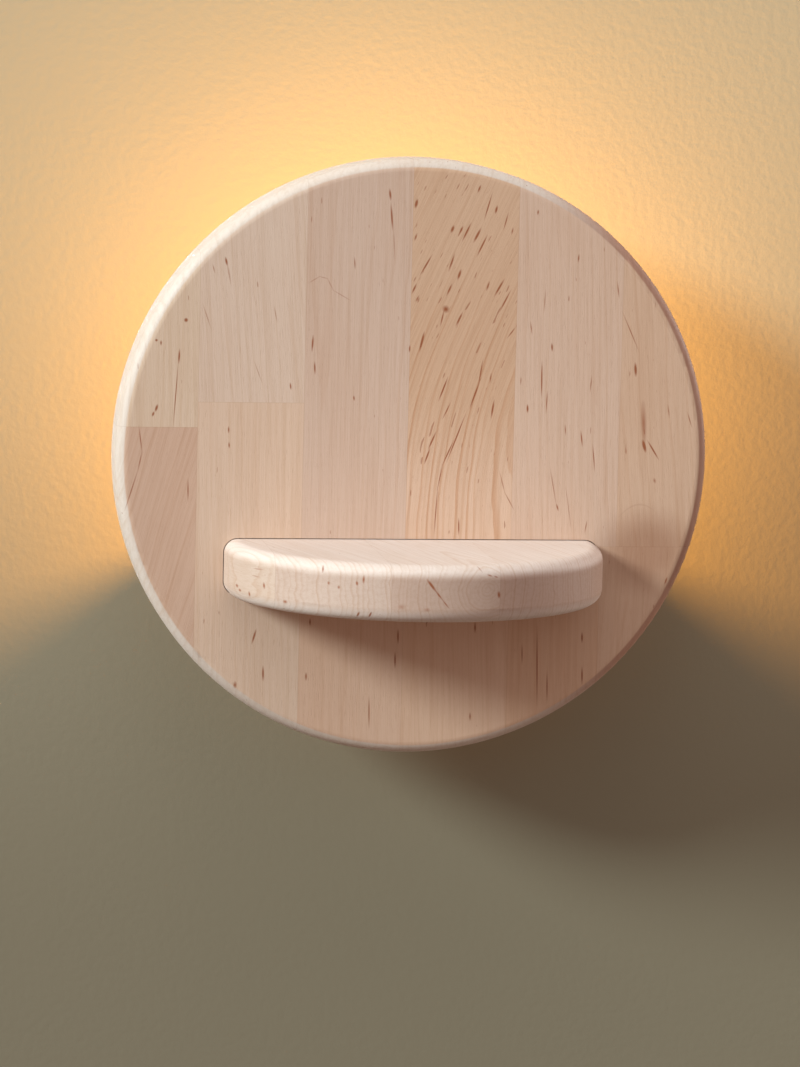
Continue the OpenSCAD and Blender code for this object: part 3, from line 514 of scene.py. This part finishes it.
def staves(tree, across, joints):
    """The number of the stave at a place, counted from the left, and the way to the next joint."""
    number, near = 0.0, FAR_AWAY
    for joint in joints:
        number = calc(tree, "ADD", calc(tree, "GREATER_THAN", across, joint), number)
        gap = calc(tree, "ABSOLUTE", calc(tree, "SUBTRACT", across, joint))
        near = calc(tree, "MINIMUM", gap, near)
    return number, near


def lookup(tree, number, values):
    """The colour or the three values that belong to a numbered stave."""
    place = calc(tree, "DIVIDE", calc(tree, "ADD", number, 0.5), len(values))
    node = add(tree, "ValToRGB", {"Fac": place})
    ramp = node.color_ramp
    ramp.interpolation = "CONSTANT"
    for index, value in enumerate(values):
        if index < len(ramp.elements):
            ramp.elements[index].position = index / len(values)
        else:
            ramp.elements.new(index / len(values))
        ramp.elements[index].color = (*value[:3], 1.0)
    return node.outputs["Color"]


# Layers of noise in the grain: scale per mm twice across the board and once along it, detail,
# roughness, and the part of the noise's range that makes the mask.
STREAK_LAYER = ((0.55, 0.55, 0.011), 5.0, 0.62, 0.42, 0.68)
FINE_LAYER = ((2.6, 2.6, 0.045), 3.0, 0.6, 0.35, 0.7)
PORE_LAYER = ((3.8, 3.8, 0.22), 1.0, 0.5, 0.60, 0.74)
CLOUD_LAYER = ((0.028, 0.028, 0.009), 2.0, 0.5, 0.3, 0.7)
FLECK_SCALE, FLECK_LIMITS, FLECK_SOFTNESS = (0.62, 0.62, 0.12), (0.80, 0.66), 0.045
FINE_AMOUNT, PORE_AMOUNT, CLOUD_AMOUNT, FLECK_AMOUNT = 0.30, 0.30, 0.45, 0.55
FINE_HEIGHT, PORE_DEPTH, FLECK_DEPTH = 0.35, 0.6, 0.4
WOOD_ROUGHNESS = (0.50, 0.62)

# The year rings run round a pith behind the board, whose place is drawn for each board (mm).
BOARD_SEED, BOARD_STEP = 0.37, (131.7, 57.3, 211.9)
PITH_SIDEWAYS, PITH_DEPTHS, TAPER = (-50.0, 50.0), (25.0, 70.0), (-0.06, 0.06)
SWAY_SCALE, SWAY_MM = (0.02, 0.02, 0.009), 12.0
RIPPLE_SCALE, RIPPLE_MM = (0.16, 0.16, 0.03), 2.4
LATE_WOOD, RING_END = (0.35, 0.93), (0.94, 1.0)
YEAR_SCALE, YEAR_RANGE = 0.6, (0.3, 0.7)


def year_rings(tree, given, place):
    """How much late wood shows at a place."""
    x, y, z = split(tree, given["Place"])
    chance = add(tree, "TexWhiteNoise", {"W": calc(tree, "ADD", given["Board"], BOARD_SEED)},
                 noise_dimensions="1D").outputs["Color"]
    pith_x, pith_y, taper = split(tree, chance)
    sway = swing(tree, noise(tree, place, SWAY_SCALE), SWAY_MM)
    from_pith_x = calc(tree, "ADD", calc(tree, "ADD", x, sway),
                       spread(tree, pith_x, 0.0, 1.0, *PITH_SIDEWAYS))
    from_pith_y = calc(tree, "ADD", y, spread(tree, pith_y, 0.0, 1.0, *PITH_DEPTHS))
    radius = distance(tree, from_pith_x, from_pith_y)
    cone = calc(tree, "MULTIPLY", z, spread(tree, taper, 0.0, 1.0, *TAPER))
    ripple = calc(tree, "MULTIPLY", noise(tree, place, RIPPLE_SCALE), RIPPLE_MM)
    turns = calc(tree, "DIVIDE", calc(tree, "ADD", calc(tree, "ADD", radius, cone), ripple),
                 given["Ring Width"])
    phase = calc(tree, "FRACT", turns)
    late = calc(tree, "SUBTRACT", spread(tree, phase, *LATE_WOOD), spread(tree, phase, *RING_END))
    year = add(tree, "TexNoise", {"W": calc(tree, "MULTIPLY", turns, YEAR_SCALE), "Scale": 1.0},
               noise_dimensions="1D").outputs["Fac"]
    dark_year = calc(tree, "MULTIPLY", late, spread(tree, year, *YEAR_RANGE))
    return calc(tree, "MULTIPLY", dark_year, given["Rings"])


def board_grain_group():
    """Birch seen from any side: X and Y lie across the board and Z along it, in mm."""
    tree, given, end = new_group(
        "board_grain",
        {"Place": Vector(), "Board": 0.0, "Tone": (0.5, 0.4, 0.3, 1.0), "Flecks": 0.3,
         "Rings": 0.4, "Streaks": 0.5, "Ring Width": 3.0},
        {"Color": tuple, "Height": float, "Roughness": float})
    apart = scaled(tree, BOARD_STEP, given["Board"])
    place = add(tree, "VectorMath", {0: given["Place"], 1: apart}, operation="ADD").outputs[0]
    fine = layer(tree, place, *FINE_LAYER)
    pores = layer(tree, place, *PORE_LAYER)
    least = spread(tree, given["Flecks"], 0.0, 1.0, *FLECK_LIMITS)
    beyond = calc(tree, "SUBTRACT", noise(tree, place, FLECK_SCALE, 1.0), least)
    flecks = spread(tree, beyond, 0.0, FLECK_SOFTNESS)
    color = darker(tree, layer(tree, place, *STREAK_LAYER), given["Streaks"], given["Tone"],
                   STREAK_TINT)
    color = mix(tree, year_rings(tree, given, place), color, RING_TINT, "MULTIPLY")
    color = darker(tree, fine, FINE_AMOUNT, color, STREAK_TINT)
    color = darker(tree, pores, PORE_AMOUNT, color, PORE_TINT)
    color = darker(tree, layer(tree, place, *CLOUD_LAYER), CLOUD_AMOUNT, color, CLOUD_TINT)
    color = mix(tree, calc(tree, "MULTIPLY", flecks, FLECK_AMOUNT), color, BARK_BROWN)
    dips = calc(tree, "ADD", calc(tree, "MULTIPLY", pores, PORE_DEPTH),
                calc(tree, "MULTIPLY", flecks, FLECK_DEPTH))
    height = calc(tree, "SUBTRACT", calc(tree, "MULTIPLY", fine, FINE_HEIGHT), dips)
    put_out(tree, end, {"Color": color, "Height": height,
                        "Roughness": spread(tree, fine, 0.0, 1.0, *WOOD_ROUGHNESS)})
    return tree


def glue_line_group():
    """A thin dark line where two boards meet."""
    tree, given, end = new_group("glue_line", {"Distance": 1.0, "Color": (1.0,) * 4},
                                 {"Color": tuple})
    line = spread(tree, given["Distance"], GLUE_HALF_WIDTH, 0.0)
    put_out(tree, end, {"Color": darker(tree, line, GLUE_AMOUNT, given["Color"], GLUE_TINT)})
    return tree


def on_disc(across, down):
    """Where the line of sight through a place in the photograph meets the disc's front, in mm."""
    eye, sight = Vector(CAMERA_PLACE) / MM, line_of_sight(across, down)
    return eye + sight * ((DISC_FACE - eye.y) / sight.y)


def on_shelf_front(across, down):
    """Where the line of sight through a place in the photograph meets the shelf's front, in mm."""
    eye, sight = Vector(CAMERA_PLACE) / MM, line_of_sight(across, down)
    low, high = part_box("shelf_board")
    radius = (high.x - low.x) / 2 / MM
    away = eye.xy - Vector(((low.x + high.x) / 2 / MM, low.y / MM + radius))
    square, nearing = sight.xy.length_squared, away.dot(sight.xy)
    bend = nearing ** 2 - square * (away.length_squared - radius ** 2)
    return eye + sight * ((-nearing - math.sqrt(bend)) / square)


def read_marks(window, readings, meets):
    """Middle, half length, half width, lean and strength of the marks read in a cut-out."""
    left, top, enlargement = window
    marks = []
    for *ends, width, strength in readings:
        first, last = (meets(left + across / enlargement, top + down / enlargement)
                       for across, down in (ends[:2], ends[2:]))
        run = first - last
        half_length = math.hypot(run.x, run.z) / 2 * MARK_LENGTHENING + MARK_ENDS_MM
        half_width = max(width / enlargement / PX_PER_MM * MARK_WIDTH_SHARE, THINNEST_MARK_MM)
        lean = math.degrees(math.atan2(run.x, run.z))
        marks.append((*(first + last) / 2, half_length, half_width, lean, strength))
    return marks


def disc_marks():
    """All the marks on the disc's front."""
    return [mark for window, readings in DISC_READINGS
            for mark in read_marks(window, readings, on_disc)]


def marks_mask(tree, place, marks):
    """How much of a dark mark shows at a place. Each mark is a thin spindle that leans."""
    total = 0.0
    for x, y, z, half_length, half_width, lean, strength in marks:
        sockets = {"Vector": place, "Location": (x, y, z), "Rotation": (0, math.radians(lean), 0),
                   "Scale": (half_width * MARK_WIDENING, MARK_DEPTH, half_length)}
        spindle = add(tree, "Mapping", sockets, vector_type="TEXTURE").outputs[0]
        fall = add(tree, "TexGradient", {0: spindle}, gradient_type="SPHERICAL").outputs["Fac"]
        total = calc(tree, "MULTIPLY_ADD", fall, strength * MARK_STRENGTH, total)
    return calc(tree, "MINIMUM", total, MARK_LIMIT)


def finish_wood(tree, shader, color, grain, near, marks):
    """Marks on the boards' colour, and a thin oil finish; the relief fades out at the joints."""
    tree.links.new(mix(tree, marks, color, BARK_BROWN), shader.inputs["Base Color"])
    tree.links.new(grain["Roughness"], shader.inputs["Roughness"])
    shader.inputs["Specular IOR Level"].default_value = 0.35
    height = calc(tree, "MULTIPLY", grain["Height"], spread(tree, near, 0.0, JOINT_FADE))
    relief(tree, shader, height, WOOD_RELIEF_MM, WOOD_RELIEF_STRENGTH)


def painted_shadow_patch(tree, color, x, z):
    """A painted soft shadow low on the right of the disc, under a thin arch of grain."""
    across = calc(tree, "DIVIDE", calc(tree, "SUBTRACT", x, SHADOW_PATCH_X), SHADOW_PATCH_HALF_WIDTH)
    upward = calc(tree, "DIVIDE", calc(tree, "SUBTRACT", z, SHADOW_PATCH_Z), SHADOW_PATCH_HALF_HEIGHT)
    patch = spread(tree, distance(tree, across, upward), *SHADOW_PATCH_FADE)
    from_peak = calc(tree, "SUBTRACT", x, ARCH_X)
    arch = calc(tree, "MULTIPLY_ADD", squared(tree, from_peak), ARCH_BEND, ARCH_TOP)
    off_arch = calc(tree, "ABSOLUTE", calc(tree, "SUBTRACT", z, arch))
    line = calc(tree, "MULTIPLY", spread(tree, off_arch, *ARCH_LINE),
                spread(tree, calc(tree, "ABSOLUTE", from_peak), *ARCH_REACH))
    dark = calc(tree, "MAXIMUM", patch, calc(tree, "MULTIPLY", line, ARCH_AMOUNT))
    return mix(tree, dark, color, SHADOW_PATCH_TINT, "MULTIPLY")


def disc_boards(tree, x, z):
    """The stave at a place of the disc, if it is the lower board, and the way to a joint."""
    low_right = calc(tree, "LESS_THAN", z, DISC_BUTTS[-1])
    last_joint = spread(tree, low_right, 0.0, 1.0, LAST_JOINT_UPPER, LAST_JOINT_LOWER)
    stave, near = staves(tree, x, (*DISC_JOINTS, last_joint))
    level = lookup(tree, stave, [((height + BUTT_RANGE) / (2 * BUTT_RANGE),) * 3
                                 for height in DISC_BUTTS])
    butt = calc(tree, "MULTIPLY_ADD", split(tree, level)[0], 2 * BUTT_RANGE, -BUTT_RANGE)
    to_butt = calc(tree, "ABSOLUTE", calc(tree, "SUBTRACT", z, butt))
    return stave, calc(tree, "LESS_THAN", z, butt), calc(tree, "MINIMUM", near, to_butt)


def by_board(tree, stave, is_lower, upper, lower):
    """The values of the upper or the lower board of a stave."""
    return mix(tree, is_lower, lookup(tree, stave, upper), lookup(tree, stave, lower))


def rim_painted_light(tree, tone, x, y, z):
    """The tone of the boards, turned into the rim's where the edge is rounded: pale, partly a
    painted highlight, and darker at the right side's front as painted shade.
    """
    # Painted shade: the front of the rim on the right side is darkened.
    painted_shade_side = calc(tree, "MULTIPLY", spread(tree, x, *RIM_SHADE_TO_RIGHT),
                    spread(tree, y, *RIM_SHADE_TO_FRONT))
    rim_light_and_shade = mix(tree, painted_shade_side, RIM_TONE_AND_HIGHLIGHT, RIM_PAINTED_SHADE)
    return mix(tree, spread(tree, distance(tree, x, z), *RIM_START), tone, rim_light_and_shade)


def disc_wood(grain_group, glue_group):
    """Upright staves of two boards each, as on the disc."""
    material, tree, shader = new_material("disc_wood")
    place = object_place(tree)
    x, y, z = split(tree, place)
    stave, is_lower, near = disc_boards(tree, x, z)
    tone = by_board(tree, stave, is_lower, [tint(*tone) for tone in UPPER_TONES],
                    [tint(*tone) for tone in LOWER_TONES])
    flecks, rings, lean = split(tree, by_board(tree, stave, is_lower, UPPER_GRAIN, LOWER_GRAIN))
    slope = calc(tree, "MULTIPLY_ADD", lean, -LEAN_SLOPE, LEAN_SLOPE / 2)
    upright = join(tree, calc(tree, "MULTIPLY_ADD", z, slope, x), y, z)
    # The grain of one upper board leans above and turns upright further down.
    is_bent = calc(tree, "MULTIPLY", calc(tree, "COMPARE", stave, BENT_STAVE, 0.1),
                   calc(tree, "SUBTRACT", 1.0, is_lower))
    lift = calc(tree, "SMOOTH_MAX", calc(tree, "SUBTRACT", z, BEND_Z), 0.0, BEND_SOFTNESS)
    bent = calc(tree, "MULTIPLY_ADD", lift, -BEND_SLOPE, x)
    along = mix(tree, is_bent, upright, join(tree, bent, y, z))
    low_down = calc(tree, "MULTIPLY", is_bent, spread(tree, z, *BENT_TO_LOW))
    # The rim gets a pale tone that is partly a painted highlight, and painted shade at its right
    # front.
    tone = rim_painted_light(tree, mix(tree, low_down, tone, BENT_LOW_TONE), x, y, z)
    calm = calc(tree, "MULTIPLY", is_bent, spread(tree, z, *BENT_TO_CALM))
    rings = calc(tree, "MULTIPLY", rings, calc(tree, "MULTIPLY_ADD", calm, -CALM_LOSS, 1.0))
    rings = calc(tree, "MULTIPLY", rings, calc(tree, "MULTIPLY_ADD", low_down, LOW_GAIN, 1.0))
    grain = use_group(tree, grain_group, {
        "Place": along, "Board": calc(tree, "MULTIPLY_ADD", is_lower, LOWER_BOARDS, stave),
        "Tone": tone, "Flecks": flecks, "Rings": rings, "Streaks": DISC_STREAKS,
        "Ring Width": calc(tree, "MULTIPLY_ADD", is_bent, -BENT_NARROWER_MM, DISC_RING_MM)})
    color = use_group(tree, glue_group, {"Distance": near, "Color": grain["Color"]})["Color"]
    # Painted shadow low on the right of the disc.
    color = painted_shadow_patch(tree, color, x, z)
    finish_wood(tree, shader, color, grain, near, marks_mask(tree, place, disc_marks()))
    return material


def shelf_wood(grain_group, glue_group):
    """Staves from front to back, with end grain at the front edge."""
    material, tree, shader = new_material("shelf_wood")
    place = object_place(tree)
    x, y, z = split(tree, place)
    stave, near = staves(tree, x, SHELF_JOINTS)
    front = lookup(tree, stave, [tint(*tone) for tone in SHELF_FRONT_TONES])
    face = mix(tree, FRONT_SHARE, SHELF_FACE_TONE, front)
    is_face = calc(tree, "MAXIMUM", spread(tree, z, *TO_TOP_FACE),
                   spread(tree, z, *TO_UNDERSIDE))
    flecks, rings, _ = split(tree, lookup(tree, stave, SHELF_GRAIN))
    along = join(tree, calc(tree, "MULTIPLY_ADD", y, SHELF_LEAN, x), z, y)
    grain = use_group(tree, grain_group, {
        "Place": along, "Board": calc(tree, "ADD", stave, SHELF_BOARDS),
        "Tone": mix(tree, is_face, front, face), "Flecks": flecks, "Rings": rings,
        "Streaks": SHELF_STREAKS, "Ring Width": SHELF_RING_MM})
    color = use_group(tree, glue_group, {"Distance": near, "Color": grain["Color"]})["Color"]
    marks = read_marks(SHELF_WINDOW, SHELF_READINGS, on_shelf_front)
    finish_wood(tree, shader, color, grain, near, marks_mask(tree, place, marks))
    return material


# ---------- other finishes ----------

SHADE_TINT = (0.72, 0.72, 0.73, 1.0)
MOULDED_CLOUDS = ((0.045,) * 3, 3.0, 0.5, 0.3, 0.7)
PLATED_CLOUDS = ((0.08,) * 3, 4.0, 0.6, 0.3, 0.7)
PITS = ((0.7,) * 3, 1.0, 0.5, 0.62, 0.78)
PATCHES = ((1.0,) * 3, 5.0, 0.65, 0.50, 0.72)
SHADE_RANGE = (0.35, 0.7)


def moulded_group():
    """Fine moulded or sprayed texture: specks and clouds in colour, gloss and height."""
    tree, given, end = new_group(
        "moulded_texture",
        {"Place": Vector(), "Color": (0.8, 0.8, 0.8, 1.0), "Grain": 1.0, "Shade": 0.2,
         "Gloss": 0.5},
        {"Color": tuple, "Height": float, "Roughness": float})
    sized = scaled(tree, given["Place"], given["Grain"])
    specks = noise(tree, sized, (1.0,) * 3, 3.0, 0.6)
    pits = layer(tree, sized, *PITS)
    cloud = layer(tree, given["Place"], *MOULDED_CLOUDS)
    dark = calc(tree, "ADD", calc(tree, "MULTIPLY", spread(tree, specks, *SHADE_RANGE), 0.5),
                calc(tree, "MULTIPLY", cloud, 0.5))
    dark = calc(tree, "MAXIMUM", dark, pits)
    rough = calc(tree, "ADD", swing(tree, specks, 0.25),
                 calc(tree, "SUBTRACT", 1.0, given["Gloss"]))
    put_out(tree, end, {
        "Color": darker(tree, dark, given["Shade"], given["Color"], SHADE_TINT),
        "Height": calc(tree, "MULTIPLY_ADD", pits, -0.5, specks), "Roughness": rough})
    return tree


def brushed_group():
    """Fine lines along the axis with the small Stretch, over soft clouds of plating."""
    tree, given, end = new_group(
        "brushed_lines",
        {"Place": Vector(), "Color": (0.6, 0.6, 0.6, 1.0), "Stretch": Vector((0.04, 5.0, 5.0)),
         "Shade": 0.3, "Gloss": 0.6},
        {"Color": tuple, "Height": float, "Roughness": float})
    lines = noise(tree, times(tree, given["Place"], given["Stretch"]), (1.0,) * 3, 4.0, 0.65)
    cloud = layer(tree, given["Place"], *PLATED_CLOUDS)
    dark = calc(tree, "ADD", calc(tree, "MULTIPLY", spread(tree, lines, *SHADE_RANGE), 0.65),
                calc(tree, "MULTIPLY", cloud, 0.35))
    rough = calc(tree, "ADD", swing(tree, lines, 0.3), swing(tree, cloud, 0.12))
    put_out(tree, end, {
        "Color": darker(tree, dark, given["Shade"], given["Color"], SHADE_TINT), "Height": lines,
        "Roughness": calc(tree, "ADD", rough, calc(tree, "SUBTRACT", 1.0, given["Gloss"]))})
    return tree


def stain_group():
    """Patches of tarnish, dust or handling marks."""
    tree, given, end = new_group(
        "stains", {"Place": Vector(), "Color": (0.5, 0.5, 0.5, 1.0),
                   "Stain": (0.4, 0.3, 0.2, 1.0), "Size": 4.0, "Amount": 0.3}, {"Color": tuple})
    sized = add(tree, "VectorMath", {0: given["Place"], 1: given["Size"]},
                operation="DIVIDE").outputs[0]
    mask = calc(tree, "MULTIPLY", layer(tree, sized, *PATCHES), given["Amount"])
    put_out(tree, end, {"Color": mix(tree, mask, given["Color"], given["Stain"])})
    return tree


STRIPE_TURN, STRIPE_EDGE = 0.12, (0.10, 0.22)
LEAD_GREEN, LEAD_YELLOW = (0.10, 0.36, 0.05, 1.0), (0.86, 0.62, 0.03, 1.0)
TILE_PITCH, TILE_EDGE = 3.0, (0.42, 0.48)
PHOSPHOR, TILE_FRAME = (0.95, 0.75, 0.30, 1.0), (0.55, 0.36, 0.10, 1.0)
GLOW_FADE, GLOW_STRENGTH = (0.35, 1.05), 1.0
GLOW_MIDDLE, GLOW_END = (1.0, 0.78, 0.46, 1.0), (0.62, 0.27, 0.08, 1.0)


def two_tone(tree, place):
    """Green insulation with a yellow stripe along it that turns slowly round the lead."""
    x, y, _ = split(tree, place)
    turn = calc(tree, "MULTIPLY", calc(tree, "ADD", x, y), STRIPE_TURN)
    _, facing_y, facing_z = split(tree, add(tree, "TexCoord").outputs["Normal"])
    side = calc(tree, "ADD", calc(tree, "MULTIPLY", facing_z, calc(tree, "COSINE", turn)),
                calc(tree, "MULTIPLY", facing_y, calc(tree, "SINE", turn)))
    return mix(tree, spread(tree, side, *STRIPE_EDGE), LEAD_GREEN, LEAD_YELLOW)


def light_tiles(tree, place):
    """Yellow phosphor with a darker frame round each tile."""
    part = calc(tree, "FRACT", calc(tree, "DIVIDE", split(tree, place)[2], TILE_PITCH))
    from_middle = calc(tree, "ABSOLUTE", calc(tree, "SUBTRACT", part, 0.5))
    return mix(tree, spread(tree, from_middle, *TILE_EDGE), PHOSPHOR, TILE_FRAME)


def glow(material):
    """Warm light that is strongest at the middle of the frosted cover."""
    tree = material.node_tree
    shader = tree.nodes["Principled BSDF"]
    low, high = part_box("bulb_cover")
    middle, half = (low.z + high.z) / 2 / MM, (high.z - low.z) / 2 / MM
    z = split(tree, object_place(tree))[2]
    way = calc(tree, "ABSOLUTE", calc(tree, "DIVIDE", calc(tree, "SUBTRACT", z, middle), half))
    warm = mix(tree, spread(tree, way, *GLOW_FADE), GLOW_MIDDLE, GLOW_END)
    tree.links.new(warm, shader.inputs["Emission Color"])
    shader.inputs["Emission Strength"].default_value = GLOW_STRENGTH


# Paint, plastic, ceramic and rubber: colour (or what draws it), specks per mm, shade, gloss and
# depth of the relief in mm.
TEXTURED = {
    "painted_steel": ((0.86, 0.86, 0.84), 1.6, 0.22, 0.50, 0.05),
    "holder_ceramic": ((0.88, 0.86, 0.80), 2.6, 0.30, 0.34, 0.05),
    "terminal_plastic": ((0.86, 0.86, 0.84), 1.2, 0.16, 0.64, 0.015),
    "cover_plastic": ((0.84, 0.83, 0.80), 4.2, 0.26, 0.44, 0.035),
    "dark_rubber": ((0.075, 0.075, 0.078), 2.4, 0.50, 0.26, 0.04),
    "brown_lead": ((0.27, 0.12, 0.05), 1.8, 0.35, 0.62, 0.02),
    "blue_lead": ((0.07, 0.20, 0.55), 1.8, 0.35, 0.62, 0.02),
    "earth_lead": (two_tone, 1.8, 0.25, 0.60, 0.02),
    "bulb_plastic": ((0.90, 0.90, 0.88), 1.0, 0.14, 0.68, 0.015),
    "led_phosphor": (light_tiles, 3.0, 0.30, 0.45, 0.02),
    "frosted_cover": ((1.0, 0.90, 0.75), 3.5, 0.12, 0.40, 0.02),
}

# Metals: colour, stretch of the lines, shade, gloss, depth of the relief in mm, then amount, size
# in mm and colour of the stains.
METALS = {
    "zinc_steel": ((0.62, 0.62, 0.60), (2.5, 2.5, 0.15), 0.40, 0.66, 0.01,
                   0.22, 6.0, (0.42, 0.43, 0.46)),
    "screw_steel": ((0.66, 0.66, 0.66), (3.5, 0.6, 3.5), 0.45, 0.70, 0.012,
                    0.30, 1.6, (0.34, 0.34, 0.36)),
    "shield_aluminium": ((0.80, 0.80, 0.80), (0.03, 4.0, 6.0), 0.42, 0.60, 0.012,
                         0.10, 14.0, (0.55, 0.53, 0.50)),
    "contact_brass": ((0.78, 0.60, 0.30), (3.0, 3.0, 0.3), 0.35, 0.68, 0.01,
                      0.45, 2.5, (0.36, 0.30, 0.24)),
    "tinned_tag": ((0.70, 0.70, 0.68), (1.5, 1.5, 1.5), 0.40, 0.62, 0.015,
                   0.30, 2.0, (0.45, 0.44, 0.42)),
    "pin_wire": ((0.72, 0.72, 0.70), (6.0, 6.0, 0.4), 0.35, 0.72, 0.008,
                 0.20, 1.5, (0.45, 0.43, 0.40)),
    "bulb_carrier": ((0.78, 0.78, 0.76), (4.0, 4.0, 4.0), 0.35, 0.45, 0.02,
                     0.10, 3.0, (0.36, 0.30, 0.24)),
}


def textured(slot, group, color, grain, shade, gloss, depth_mm):
    """The material of a row of TEXTURED."""
    material, tree, shader = new_material(slot)
    place = object_place(tree)
    drawn = color(tree, place) if callable(color) else (*color, 1.0)
    surface = use_group(tree, group, {"Place": place, "Color": drawn, "Grain": grain,
                                      "Shade": shade, "Gloss": gloss})
    connect(tree, shader, surface["Color"], surface, depth_mm)
    return material


def metal(slot, group, stains, color, stretch, shade, gloss, depth_mm, amount, size_mm,
          stain_color):
    """The material of a row of METALS."""
    material, tree, shader = new_material(slot)
    place = object_place(tree)
    surface = use_group(tree, group, {"Place": place, "Color": (*color, 1.0), "Stretch": stretch,
                                      "Shade": shade, "Gloss": gloss})
    stained = use_group(tree, stains, {
        "Place": place, "Color": surface["Color"], "Stain": (*stain_color, 1.0),
        "Size": size_mm, "Amount": amount})
    connect(tree, shader, stained["Color"], surface, depth_mm)
    shader.inputs["Metallic"].default_value = 1.0
    return material


def connect(tree, shader, color, surface, depth_mm):
    """Colour, gloss and relief onto the shader."""
    tree.links.new(color, shader.inputs["Base Color"])
    tree.links.new(surface["Roughness"], shader.inputs["Roughness"])
    relief(tree, shader, surface["Height"], depth_mm)


def finishes():
    """One material for each slot of the record."""
    grain, glue = board_grain_group(), glue_line_group()
    moulded, brushed, stains = moulded_group(), brushed_group(), stain_group()
    made = {"disc_wood": disc_wood(grain, glue), "shelf_wood": shelf_wood(grain, glue)}
    for slot, values in TEXTURED.items():
        made[slot] = textured(slot, moulded, *values)
    for slot, values in METALS.items():
        made[slot] = metal(slot, brushed, stains, *values)
    glow(made["frosted_cover"])
    return made


def dress(nodes, record):
    """Each CAD node gets the material of its slot."""
    made = finishes()
    for part in record["subparts"]:
        piece = nodes[part["node"]]
        piece.data.materials.clear()
        piece.data.materials.append(made[part["material_slot"]])


place_camera()
set_stage()
dress(frame["nodes"], frame["record"])
